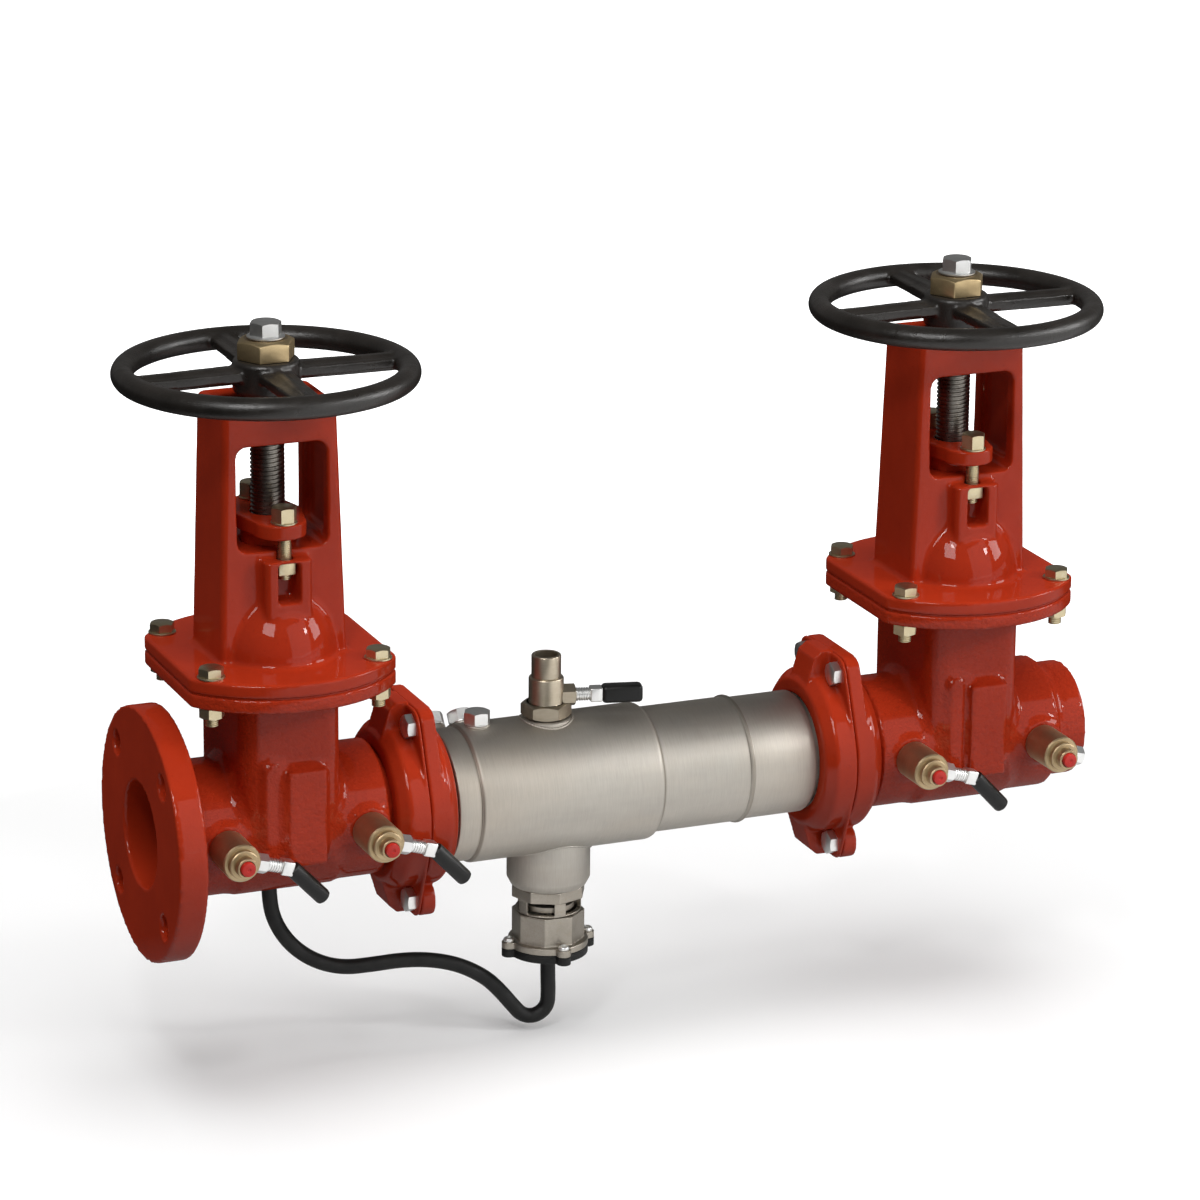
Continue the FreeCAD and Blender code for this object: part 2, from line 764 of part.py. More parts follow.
def gland(side, x):
    """Gland plate with its follower, the packing rings under it and the two gland bolts."""
    half = "gland_centre / 2"
    reach = "gland_bolt_y"
    middle = rod("gland_centre", "gland_thick", z="gland_low")
    ends = [rod("gland_end", "gland_thick", "0", y, "gland_low") for y in ("-gland_end_at", "gland_end_at")]
    tip = "gland_end / 2"
    web_points = [("-" + tip, "-gland_end_at"), (tip, "-gland_end_at"), (half, "-gland_web"),
                  (half, "gland_web"), (tip, "gland_end_at"), ("-" + tip, "gland_end_at"),
                  ("-" + half, "gland_web"), ("-" + half, "-gland_web")]
    web = padded("GlandWeb", "XY_Plane", web_points, "gland_thick", "gland_low")
    rings_tall = "4 * packing_ring + 5 * packing_slack"
    follower_low = "packing_low + " + rings_tall
    follower = rod("packing_od - 2 * packing_slack", "gland_low - (" + follower_low + ") + 1", z=follower_low)
    bore = rod("stem_dia + 2 * gland_gap", "200", z="packing_low")
    ways = [rod("gland_bolt_dia + 2 * bolt_slack", "40", "0", y, "gland_low - 10") for y in ("-" + reach, reach)]
    finish(cut(fuse(middle, web, follower, *ends), bore, *ways), side + "_gland_plate", x)

    rings = []
    for turn in range(4):
        level = "packing_low + packing_slack + %d * (packing_ring + packing_slack)" % turn
        ring = rod("packing_od - 2 * packing_slack", "packing_ring", z=level)
        hole = rod("stem_dia + 2 * packing_slack", "packing_ring + 2", z=level + " - 1")
        rings.append(cut(ring, hole))
    finish(group(*rings), side + "_stem_packing", x)

    bolts = []
    for y in ("-" + reach, reach):
        head_low = "gland_low + gland_thick"
        nut_low = "slot_high - square_nut_tall - 0.3"
        bolts.append(fuse(
            prism(6, "gland_flats", "gland_head", "0", y, head_low + " + washer_thick"),
            rod("gland_flats + 3", "washer_thick", "0", y, head_low),
            rod("gland_bolt_dia", head_low + " - (" + nut_low + ") + 5", "0", y, nut_low + " - 4"),
            block("square_nut", "square_nut", "square_nut_tall", "0", y, nut_low)))
    finish(group(*bolts), side + "_gland_bolts", x)


def stem_and_wedge(side, x):
    """Rising stem, the wedge that hangs on its head, and the cap bolt on its top."""
    head_top = "stem_head_low + stem_head_tall"
    stem_points = [
        ("0", "stem_head_low"), ("stem_head_dia / 2", "stem_head_low"), ("stem_head_dia / 2", head_top),
        ("stem_neck_dia / 2", head_top), ("stem_neck_dia / 2", head_top + " + stem_neck_tall"),
        ("stem_dia / 2", head_top + " + stem_neck_tall"), ("stem_dia / 2", "sleeve_top"), ("0", "sleeve_top"),
    ]
    finish(along_z("Stem", stem_points), side + "_stem", x)

    disc = common(rod("wedge_od - 0.6", "chamber_wide", "-chamber_wide / 2", aim="X"),
                  taper_room("WedgeForm", "-60", "60", "seat_gap"))
    boss = block("wedge_boss_wide", "wedge_boss_deep", "wedge_boss_top - 20", z="20")
    room = block("chamber_wide", "stem_head_dia + 2 * tee_gap", "stem_head_tall + 2 * tee_gap",
                 z="stem_head_low - tee_gap")
    neck = block("chamber_wide", "stem_neck_dia + 2 * tee_gap", "20", z="stem_head_low")
    dishes = []
    for aim, way in (("X", ""), ("-X", "-")):
        dish = rod("pipe_bore - 12", "20", way + "(seat_half - wedge_dish)", "0", "0", aim)
        dishes.append(dish)
    finish(cut(fuse(cut(disc, *dishes), boss), room, neck), side + "_wedge", x)

    cap_low = "sleeve_top + 0.3"
    washer = rod("cap_washer_dia", "cap_washer_thick", z=cap_low)
    bolt = prism(6, "cap_flats", "cap_tall", z=cap_low + " + cap_washer_thick")
    rim = along_z("CapTop", [("0", cap_low), ("cap_flats / 2 + 3", cap_low),
                             ("cap_flats / 2 + 3", cap_low + " + cap_washer_thick + cap_tall - 2"),
                             ("cap_flats / 2 - 0.5", cap_low + " + cap_washer_thick + cap_tall"),
                             ("0", cap_low + " + cap_washer_thick + cap_tall")])
    finish(fuse(washer, common(bolt, rim)), side + "_stem_cap_bolt", x)


def handwheel(side, x):
    """Handwheel: hub, four ribbed spokes and a round rim, with the yoke sleeve and the wheel nut."""
    body = new_body("Wheel")
    hub = outline(body, "XZ_Plane", [
        ("sleeve_od / 2", "hub_low"), ("hub_dia / 2 - 2", "hub_low"), ("hub_dia / 2", "hub_low + 2"),
        ("hub_dia / 2", "hub_top - 2"), ("hub_dia / 2 - 2", "hub_top"), ("sleeve_od / 2", "hub_top")])
    spin = body.newObject("PartDesign::Revolution", "HubSpin")
    spin.Profile = hub
    spin.ReferenceAxis = (hub, ["V_Axis"])
    spin.Angle = 360
    ends = []
    for wide, level, lift in (("spoke_wide", "spoke_hub_height", "hub_dia / 2 - 3"),
                              ("spoke_rim_wide", "rim_height", "(wheel_od - rim_dia) / 2")):
        half = wide + " / 2"
        web = "spoke_rib / 2"
        up = level + " + spoke_thick / 2"
        down = level + " - spoke_thick / 2"
        profile = [("-" + half, down), ("-" + web, down), ("-" + web, down + " - spoke_rib_down"),
                   (web, down + " - spoke_rib_down"), (web, down), (half, down), (half, up), (web, up),
                   (web, up + " + spoke_rib_up"), ("-" + web, up + " + spoke_rib_up"), ("-" + web, up),
                   ("-" + half, up)]
        ends.append(outline(body, "YZ_Plane", profile, lift))
    spoke = body.newObject("PartDesign::AdditiveLoft", "Spoke")
    spoke.Profile = ends[0]
    spoke.Sections = [ends[1]]
    spoke.Ruled = True
    doc.recompute()
    ring = body.newObject("PartDesign::PolarPattern", "Spokes")
    ring.Originals = [spoke]
    ring.Axis = (hub, ["V_Axis"])
    ring.Angle = 360
    ring.Occurrences = 4
    body.Tip = ring
    doc.recompute()
    rim = doc.addObject("Part::Torus", "Rim")
    bind(rim, Radius1="(wheel_od - rim_dia) / 2", Radius2="rim_dia / 2")
    put(rim, z="rim_height")
    finish(fuse(body, rim), side + "_handwheel", x)

    inner = "stem_dia / 2 + stem_gap"
    outer = "sleeve_od / 2 - 0.1"
    collar_top = "window_high + collar_sunk + sleeve_collar_tall"
    finish(along_z("Sleeve", [
        (inner, collar_top + " - sleeve_collar_tall"),
        ("sleeve_collar_dia / 2", collar_top + " - sleeve_collar_tall"), ("sleeve_collar_dia / 2", collar_top),
        (outer, collar_top), (outer, "sleeve_top"), (inner, "sleeve_top")]), side + "_yoke_sleeve", x)

    low = "hub_top + 0.3"
    nut = prism(6, "wheel_nut_flats", "sleeve_top - (" + low + ")", z=low)
    corner = "wheel_nut_flats / 2 / cos(30deg)"
    trim = along_z("NutTrim", [
        ("sleeve_od / 2", low), (corner + " - 0.6", low), (corner, low + " + 1"),
        (corner, "sleeve_top - wheel_nut_chamfer"), (corner + " - 2 * wheel_nut_chamfer", "sleeve_top"),
        ("sleeve_od / 2", "sleeve_top")])
    finish(common(nut, trim), side + "_wheel_nut", x)


def gate_valve(side, flanged, x):
    """One outside-screw-and-yoke gate valve."""
    valve_body(side, flanged, x)
    bonnet_gasket(side, x)
    bonnet(side, x)
    bonnet_bolts(side, x)
    gland(side, x)
    stem_and_wedge(side, x)
    handwheel(side, x)


INLET_AT = "valve_half"
HOUSING_AT = "2 * valve_half + pipe_gap"
FIRST_JOINT = "2 * valve_half + pipe_gap / 2"
SECOND_JOINT = FIRST_JOINT + " + housing_long + pipe_gap"
OUTLET_AT = SECOND_JOINT + " + pipe_gap / 2 + valve_half"


def joint_ring(label, way, thick, bolt_hole, x):
    """One ring of a grooved joint, with a lug above and below, on the side that way tells."""
    face = way + "ring_half"
    seam = way + "ring_parting"
    lip = way + "(ring_half - ring_lip)"
    ring = along_x("Ring", [
        (face, "pipe_od / 2 + ring_slip"), (face, "ring_od / 2 - ring_shoulder"),
        (way + "(ring_half - ring_shoulder)", "ring_od / 2"), (seam, "ring_od / 2"),
        (seam, "ring_pocket_od / 2"), (lip, "ring_pocket_od / 2"), (lip, "pipe_od / 2 + ring_slip")])
    half = size("ring_half")
    round_edges(ring, "ring_round", lambda edge: edge.BoundBox.XLength < 0.1 and
                edge.BoundBox.ZMax > size("ring_od") / 2 - size("ring_shoulder") - 0.1 and
                abs(edge.BoundBox.XMin) > half - size("ring_shoulder") - 0.1)
    aim = "-X" if way == "-" else "X"
    lift = seam if way == "" else "-ring_parting - " + thick
    foot = ("ring_od / 2 * cos(lug_lean * 1deg)", "ring_od / 2 * sin(lug_lean * 1deg)")
    shoulder = ("joint_bolt_side + joint_ear * cos(lug_lean * 1deg)",
                "joint_bolt_high + joint_ear * sin(lug_lean * 1deg)")
    tip = ("joint_bolt_side", "joint_bolt_high + joint_ear")
    pieces = [ring]
    holes = []
    for up in SIDES:
        lug = [(end + "(" + across + ")", up + "(" + high + ")")
               for end, row in (("-", (foot, shoulder, tip)), ("", (tip, shoulder, foot)))
               for across, high in row]
        pieces.append(padded("Lug", "YZ_Plane", lug, thick, lift))
        for y in ("-joint_bolt_side", "joint_bolt_side"):
            pieces.append(rod("2 * joint_ear", thick, seam, y, up + "joint_bolt_high", aim))
            holes.append(rod(bolt_hole, "ring_half + 2", way + "(-1)", y, up + "joint_bolt_high", aim))
        if way == "-":
            hump = [("-hump_foot", up + "hump_foot_high"), ("-hump_brow", up + "hump_brow_high"),
                    ("-hump_crest", up + "hump_top"), (seam, up + "hump_top"),
                    (seam, up + "(ring_pocket_od / 2 - 1)")]
            pieces.append(padded("Hump", "XZ_Plane", hump, "joint_hump_wide", "-joint_hump_wide / 2"))
    pocket = rod("ring_pocket_od", "ring_half - ring_lip - ring_parting", seam, "0", "0", aim)
    finish(cut(fuse(*pieces), pocket, *holes), label, x)


def grooved_joint(name, x):
    """The two rings of one grooved joint."""
    joint_ring(name + "_upstream_ring", "-", "joint_ear_thick", "bolt_dia + 2 * bolt_slack", x)
    joint_ring(name + "_downstream_ring", "", "joint_back_thick", "bolt_dia + joint_bolt_fit", x)


def joint_hardware():
    """Split rings in the grooves, the pipe gaskets and the bolts of both joints."""
    locks = []
    gaskets = []
    bolts = []
    for x in (FIRST_JOINT, SECOND_JOINT):
        for way, aim in (("-", "-X"), ("", "X")):
            start = x + " + " + way + "(ring_half - ring_lip - lock_gap - lock_width)"
            ring = rod("lock_od", "lock_width", start, aim=aim)
            hole = rod("groove_od + 2 * lock_gap", "lock_width + 2", x + " + " + way +
                       "(ring_half - ring_lip - lock_gap - lock_width - 1)", aim=aim)
            gap = block("2 * ring_half", "lock_split", "lock_od", x, "0", "0")
            locks.append(cut(ring, hole, gap))
        sleeve = rod("ring_pocket_od - 2 * joint_gasket_gap", "2 * joint_gasket_half", x + " - joint_gasket_half",
                     aim="X")
        way_through = rod("pipe_od + 2 * joint_gasket_gap", "2 * joint_gasket_half + 2",
                          x + " - joint_gasket_half - 1", aim="X")
        gaskets.append(cut(sleeve, way_through))
        for y, z in spots("joint_bolt_side", "joint_bolt_high"):
            head = x + " - ring_parting - joint_ear_thick"
            bolts.append(cap_screw("joint_bolt_long", head, y, z, "-X"))
    finish(group(*locks), "joint_lock_rings")
    finish(group(*gaskets), "joint_gaskets")
    finish(group(*bolts), "joint_bolts")


def check_housing():
    """Stainless check housing: rolled tube with grooved ends, spigot, weld boss and plug bosses."""
    end = "housing_long"
    outer = [("0", "0"), ("0", "pipe_od / 2"), ("groove_from_end", "pipe_od / 2"),
             ("groove_from_end", "groove_od / 2"), ("groove_from_end + groove_width", "groove_od / 2"),
             ("groove_from_end + groove_width", "pipe_od / 2")]
    outer += [("step_in", "pipe_od / 2"), ("step_in + step_slope", "neck_tube_od / 2"),
              ("shell_start - step_slope", "neck_tube_od / 2"), ("shell_start", "shell_od / 2 - shell_ease"),
              ("shell_start + shell_ease", "shell_od / 2"), ("shell_end - shell_corner", "shell_od / 2"),
              ("shell_end - 0.4 * shell_corner", "shell_od / 2 - 0.3 * shell_fall"),
              ("shell_end", "shell_od / 2 - shell_fall"),
              ("shell_end", "middle_od / 2")]
    outer += [("bead_at - bead_wide / 2", "middle_od / 2"), ("bead_at - bead_wide / 4", "bead_od / 2"),
              ("bead_at + bead_wide / 4", "bead_od / 2"), ("bead_at + bead_wide / 2", "end_tube_od / 2"),
              (end + " - step_in - step_slope", "end_tube_od / 2"), (end + " - step_in", "pipe_od / 2"),
              (end + " - groove_from_end - groove_width", "pipe_od / 2"),
              (end + " - groove_from_end - groove_width", "groove_od / 2"),
              (end + " - groove_from_end", "groove_od / 2"), (end + " - groove_from_end", "pipe_od / 2"),
              (end, "pipe_od / 2"), (end, "0")]
    bore = "pipe_bore / 2"
    inner = [("-1", "0"), ("-1", bore), ("step_in + bore_step", bore),
             ("step_in + bore_step_end", "neck_tube_od / 2 - tube_wall"),
             ("shell_start", "neck_tube_od / 2 - tube_wall"),
             ("shell_start + bore_step", "shell_od / 2 - tube_wall"),
             ("shell_end - shell_corner", "shell_od / 2 - tube_wall"),
             ("shell_end - tube_wall", "middle_od / 2 - tube_wall"),
             ("bead_at", "middle_od / 2 - tube_wall"), ("bead_at + 3", "end_tube_od / 2 - tube_wall"),
             (end + " - step_in - bore_step_end", "end_tube_od / 2 - tube_wall"),
             (end + " - step_in - bore_step", bore),
             (end + " + 1", bore), (end + " + 1", "0")]
    tube = along_x("Tube", outer)
    room = along_x("TubeInside", inner)
    spigot = put(along_z("Spigot", [
        ("0", "0"), ("spigot_od / 2", "0"), ("spigot_od / 2", "-spigot_low"), ("spigot_end_od / 2", "-spigot_end"),
        ("0", "-spigot_end")]), "relief_at")
    spigot_room = rod("spigot_bore", "spigot_end - spigot_floor", "relief_at", aim="-Z")
    port = rod("relief_thread + 0.2", "spigot_end + 1", "relief_at", aim="-Z")
    weld = rod("weld_boss_dia", "shell_od / 2 + weld_boss_rise", "top_cock_at")
    cock_way = rod("cock_thread + 0.2", "shell_od / 2 + weld_boss_rise + 1", "top_cock_at")
    plug_ways = []
    bosses = []
    for x, angle in plug_places():
        boss = rod("plug_flats + 2", "plug_boss_long", z="shell_od / 2 + plug_boss_rise - plug_boss_long")
        bosses.append(radial(boss, x, angle))
        plug_ways.append(radial(rod("plug_thread + 0.2", "shell_od", z="0"), x, angle))
    finish(cut(fuse(tube, spigot, weld, *bosses), room, spigot_room, port, cock_way, *plug_ways),
           "check_housing", HOUSING_AT)


def plug_places():
    """Where the three hex plugs stand: two on the shell, one on the neck tube."""
    return [("plug_at", "0"), ("plug_at", "-plug_turn"), ("plug_back", "-plug_turn")]


def radial(thing, x, angle):
    """Lean a piece about the housing axis."""
    held = group(thing)
    put(held, x)
    if angle != "0":
        held.Placement = FreeCAD.Placement(Vector(), Rotation(Vector(1, 0, 0), 1))
        held.setExpression("Placement.Rotation.Angle", from_sheet(angle) + " * 1deg")
        held.setExpression("Placement.Base.x", from_sheet(x))
    return held


def housing_plugs():
    """Three hex plugs on top of the housing."""
    plugs = []
    for x, angle in plug_places():
        seat = "shell_od / 2 + plug_boss_rise + plug_gap"
        head = prism(6, "plug_flats", "plug_tall", z=seat)
        shank = rod("plug_thread", "plug_grip", z=seat + " - plug_grip")
        plugs.append(radial(fuse(head, shank), x, angle))
    finish(group(*plugs), "housing_plugs", HOUSING_AT)


def coil(dia, wire, turns, long, aim):
    """A compression spring of short straight runs, its ends flush with the given length."""
    radius = (dia - wire) / 2
    runs = int(turns * 12)
    rise = (long - wire * 1.1) / runs
    path = []
    for step in range(runs + 1):
        angle = 2 * math.pi * step / 12
        path.append(Vector(radius * math.cos(angle), radius * math.sin(angle), wire * 0.55 + rise * step))
    ring = []
    for step in range(9):
        angle = 2 * math.pi * step / 8
        ring.append(Vector(radius + wire / 2 * math.cos(angle), 0, wire * 0.55 + wire / 2 * math.sin(angle)))
    wound = Part.Wire(Part.makePolygon(path)).makePipeShell([Part.makePolygon(ring)], True, False, 1)
    spring = doc.addObject("Part::Feature", "Coil")
    spring.Shape = wound
    put(spring, aim=aim)
    return spring


def check_cartridge(name, at, bore_dia):
    """One spring check: seat ring, guide cage, moving disc and its spring."""
    fit = "(" + bore_dia + ") / 2 - tube_wall - check_slack"
    x = HOUSING_AT + " + " + at
    finish(along_x("Seat", [("0", "seat_throat / 2"), ("0", fit), ("seat_ring_long", fit),
                            ("seat_ring_long", "seat_throat / 2 + 3"), ("seat_ring_long - 3", "seat_throat / 2")]),
           name + "_seat", x)

    ring = cut(rod("2 * (" + fit + ")", "4", "seat_ring_long + 0.2", aim="X"),
               rod("2 * (" + fit + ") - 8", "6", "seat_ring_long - 1", aim="X"))
    hub_start = "seat_ring_long + cage_long - cage_hub_long"
    hub = rod("cage_hub_dia", "cage_hub_long", hub_start, aim="X")
    arms = []
    for turn in (0, 120, 240):
        reach = fit + " - 1"
        leg = block("cage_long - 0.5", "cage_leg", "5", "seat_ring_long + 0.3 + (cage_long - 0.5) / 2", "0",
                    fit + " - 5.5")
        arm = block("5", "cage_leg", "(" + reach + ") - cage_hub_dia / 2 + 2", hub_start + " + cage_hub_long / 2",
                    "0", "cage_hub_dia / 2 - 2")
        arms.append(put(fuse(leg, arm), turn=Rotation(ALONG_X, turn)))
    bore = rod("check_stem_dia + 2 * check_stem_gap", "cage_long + 20", aim="X")
    finish(cut(fuse(ring, hub, *arms), bore), name + "_guide_cage", x)

    disc_start = "seat_ring_long + 0.3"
    stem_end = "seat_ring_long + cage_long + 1"
    finish(along_x("Disc", [
        (disc_start, "0"), (disc_start, "disc_od / 2 - 1"), (disc_start + " + 1", "disc_od / 2"),
        (disc_start + " + disc_thick", "disc_od / 2"), (disc_start + " + disc_thick", "check_stem_dia / 2"),
        (stem_end, "check_stem_dia / 2"), (stem_end, "0")]), name + "_disc", x)

    start = "(" + disc_start + " + disc_thick + 0.3)"
    free = size("cage_long") - size("cage_hub_long") - 0.3 - size("disc_thick") - 0.6
    spring = coil(size("check_spring_dia"), size("spring_wire"), size("check_turns"), free, "X")
    finish(group(spring), name + "_spring", x + " + " + start)


def with_ears(thing, low, thick):
    """Four ears at the ends of the X and Y axes for the relief valve screws."""
    ears = []
    for x, y in (("ear_at", "0"), ("-ear_at", "0"), ("0", "ear_at"), ("0", "-ear_at")):
        ears.append(rod("ear_dia", thick, x, y, low))
    arms = [block("2 * ear_at", "ear_dia", thick, z=low), block("ear_dia", "2 * ear_at", thick, z=low)]
    return fuse(thing, *(ears + arms))


def ear_holes(dia, low, thick):
    """Holes through the four ears."""
    return [rod(dia, thick, x, y, low)
            for x, y in (("ear_at", "0"), ("-ear_at", "0"), ("0", "ear_at"), ("0", "-ear_at"))]


def relief_valve():
    """Relief valve: windowed adapter, octagonal body, diaphragm, cover, poppet, spring and screws."""
    x = HOUSING_AT + " + relief_at"
    straight = Rotation(ALONG_Z, size("octagon_turn"))
    slant = Rotation(ALONG_Z, size("octagon_turn") + 22.5)
    thread = rod("relief_thread", "nut_end - spigot_end + spigot_floor", z="-nut_end")
    nut = prism(8, "nut_across", "nut_end - spigot_end - 0.2", z="-nut_end", turn=straight)
    ring = rod("window_ring_od", "window_ring_end - nut_end + 0.5", z="-window_ring_end")
    outlets = []
    for turn in (18, 90, 162, 234, 306):
        slit = block("window_ring_od / 2 + 3", "outlet_wide", "window_ring_end - nut_end - outlet_low_rim",
                     "window_ring_od / 4 + 1.5", z="-window_ring_end + outlet_low_rim")
        outlets.append(put(group(slit), turn=Rotation(ALONG_Z, turn)))
    seat_way = rod("relief_seat_dia", "40", z="-window_ring_end - 1")
    room = rod("window_ring_bore", "window_ring_end - nut_end + 1", z="-window_ring_end - 1")
    finish(cut(fuse(thread, nut, ring), seat_way, room, *outlets), "relief_adapter", x)

    low = "-ear_flange_end"
    thick = "ear_flange_end - ear_flange_top"
    shell = prism(8, "relief_body_across", "ear_flange_end - window_ring_end - 0.2", z=low, turn=slant)
    flange = with_ears(rod("ear_flange_od", thick, z=low), low, thick)
    above = rod("relief_body_bore", "30", z="-relief_web_at")
    below = rod("relief_body_bore", "ear_flange_end - relief_web_at - relief_web + 1", z=low + " - 1")
    guide = rod("poppet_stem + 2 * check_stem_gap", "60", z=low)
    finish(cut(fuse(shell, flange), above, below, guide, *ear_holes("relief_screw_dia + 0.4", low + " - 1", "20")),
           "relief_body", x)

    sheet_low = low + " - diaphragm_thick"
    sheet_disc = with_ears(rod("ear_flange_od", "diaphragm_thick", z=sheet_low), sheet_low, "diaphragm_thick")
    finish(cut(sheet_disc, *ear_holes("relief_screw_dia + 0.4", sheet_low + " - 1", "4")), "relief_diaphragm", x)

    cover_low = sheet_low + " - cover_thick"
    lid = with_ears(rod("ear_flange_od", "cover_thick", z=cover_low), cover_low, "cover_thick")
    nose = rod("cover_boss_dia", "cover_boss_tall + 1", z=cover_low + " - cover_boss_tall")
    inlet = rod("hose_od - 5", "40", z=cover_low + " - 10")
    finish(cut(fuse(lid, nose), inlet, *ear_holes("relief_screw_dia + 0.4", cover_low + " - 1", "10")),
           "relief_cover", x)

    screws = []
    for at_x, at_y in (("ear_at", "0"), ("-ear_at", "0"), ("0", "ear_at"), ("0", "-ear_at")):
        shank = "ear_flange_end - ear_flange_top + diaphragm_thick + cover_thick - 1"
        screws.append(fuse(rod("relief_screw_head", "relief_screw_tall", at_x, at_y, "-ear_flange_top"),
                           rod("relief_screw_dia", shank, at_x, at_y, "-ear_flange_top", "-Z")))
    finish(group(*screws), "relief_screws", x)

    plate_low = low + " + 0.3"
    plate_top = plate_low + " + poppet_plate_thick"
    disc_top = "-nut_end - 0.3 - poppet_travel"
    finish(along_z("Poppet", [
        ("0", plate_low), ("poppet_plate_dia / 2", plate_low), ("poppet_plate_dia / 2", plate_top),
        ("poppet_stem / 2", plate_top), ("poppet_stem / 2", disc_top + " - poppet_thick"),
        ("poppet_dia / 2", disc_top + " - poppet_thick"), ("poppet_dia / 2", disc_top), ("0", disc_top)]),
        "relief_poppet", x)

    free = (size("ear_flange_end") - 0.3 - size("poppet_plate_thick") - 0.3 -
            size("relief_web_at") - size("relief_web") - 0.3)
    spring = coil(size("relief_spring_dia"), size("relief_spring_wire"), size("relief_turns"), free, "Z")
    finish(group(spring), "relief_spring", x, z=plate_top + " + 0.3")


def rounded_route(points):
    """Straight runs joined by tangent arcs, each as large as its two shorter runs allow."""
    spots_list = [Vector(*point) for point in points]
    edges = []
    radii = []
    start = spots_list[0]
    for before, corner, after in zip(spots_list, spots_list[1:], spots_list[2:]):
        back = before.sub(corner)
        ahead = after.sub(corner)
        trim = 0.45 * min(back.Length, ahead.Length)
        back.normalize()
        ahead.normalize()
        turn = math.pi - back.getAngle(ahead)
        radius = trim / math.tan(turn / 2)
        radii.append(radius)
        enter = corner.add(back * trim)
        leave = corner.add(ahead * trim)
        half_way = back.add(ahead).normalize()
        centre = corner.add(half_way * math.hypot(radius, trim))
        middle = centre.sub(half_way * radius)
        edges.append(Part.LineSegment(start, enter).toShape())
        edges.append(Part.Arc(enter, middle, leave).toShape())
        start = leave
    edges.append(Part.LineSegment(start, spots_list[-1]).toShape())
    print("hose radii", [round(value, 1) for value in radii])
    return Part.Wire(edges)


def sensing_line():
    """Black sensing hose with its two fittings."""
    path = rounded_route(HOSE_ROUTE)
    first = Vector(*HOSE_ROUTE[0])
    heading = Vector(*HOSE_ROUTE[1]).sub(first)
    radius = size("hose_od") / 2
    section = Part.Wire([Part.makeCircle(radius, first, heading)])
    tube = path.makePipeShell([section], True, False)
    print("hose volume over section times length", round(tube.Volume / (math.pi * radius ** 2 * path.Length), 4))
    hose = doc.addObject("Part::Feature", "Hose")
    hose.Shape = tube
    finish(hose, "sensing_hose")

    x = INLET_AT + " + hose_boss_x"
    nut_tall = "hose_fit_low - hose_boss_low - 0.3"
    upper = fuse(prism(6, "hose_fit_flats", nut_tall, x, "hose_boss_y", "-hose_fit_low"),
                 rod("hose_fit_thread", "12", x, "hose_boss_y", "-hose_boss_low - 0.3"))
    relief_x = HOUSING_AT + " + relief_at"
    face = "-ear_flange_end - diaphragm_thick - cover_thick - cover_boss_tall"
    lower = rod("hose_collar_dia", "hose_collar_tall", relief_x, "0", face + " - 0.3", "-Z")
    finish(group(upper, lower), "hose_fittings")


def lever(label, x, y, z, spindle_start, grip_wide, grip_long, bend, turn):
    """Cock lever: spindle, ribbed neck, block and a grip that the bend turns down."""
    spindle = rod("lever_spindle", "lever_nut_end - (" + spindle_start + ") + 2", spindle_start, aim="X")
    neck = rod("lever_neck_dia", "lever_neck_end - lever_nut_end", "lever_nut_end + 0.3", aim="X")
    head = block("lever_block_end - lever_neck_end", "lever_block", "lever_block",
                 "(lever_block_end + lever_neck_end) / 2", "0", "-lever_block / 2")
    grip = padded("Grip", "XY_Plane", rectangle("grip_thick", grip_wide), grip_long)
    round_edges(grip, "grip_thick * 0.44", runs_along(ALONG_Z))
    lean = Rotation(Vector(0, 1, 0), 90 + bend)
    put(grip, "lever_block_end - 3", turn=lean)
    finish(fuse(spindle, neck, head, grip), label, x, y, z, turn)


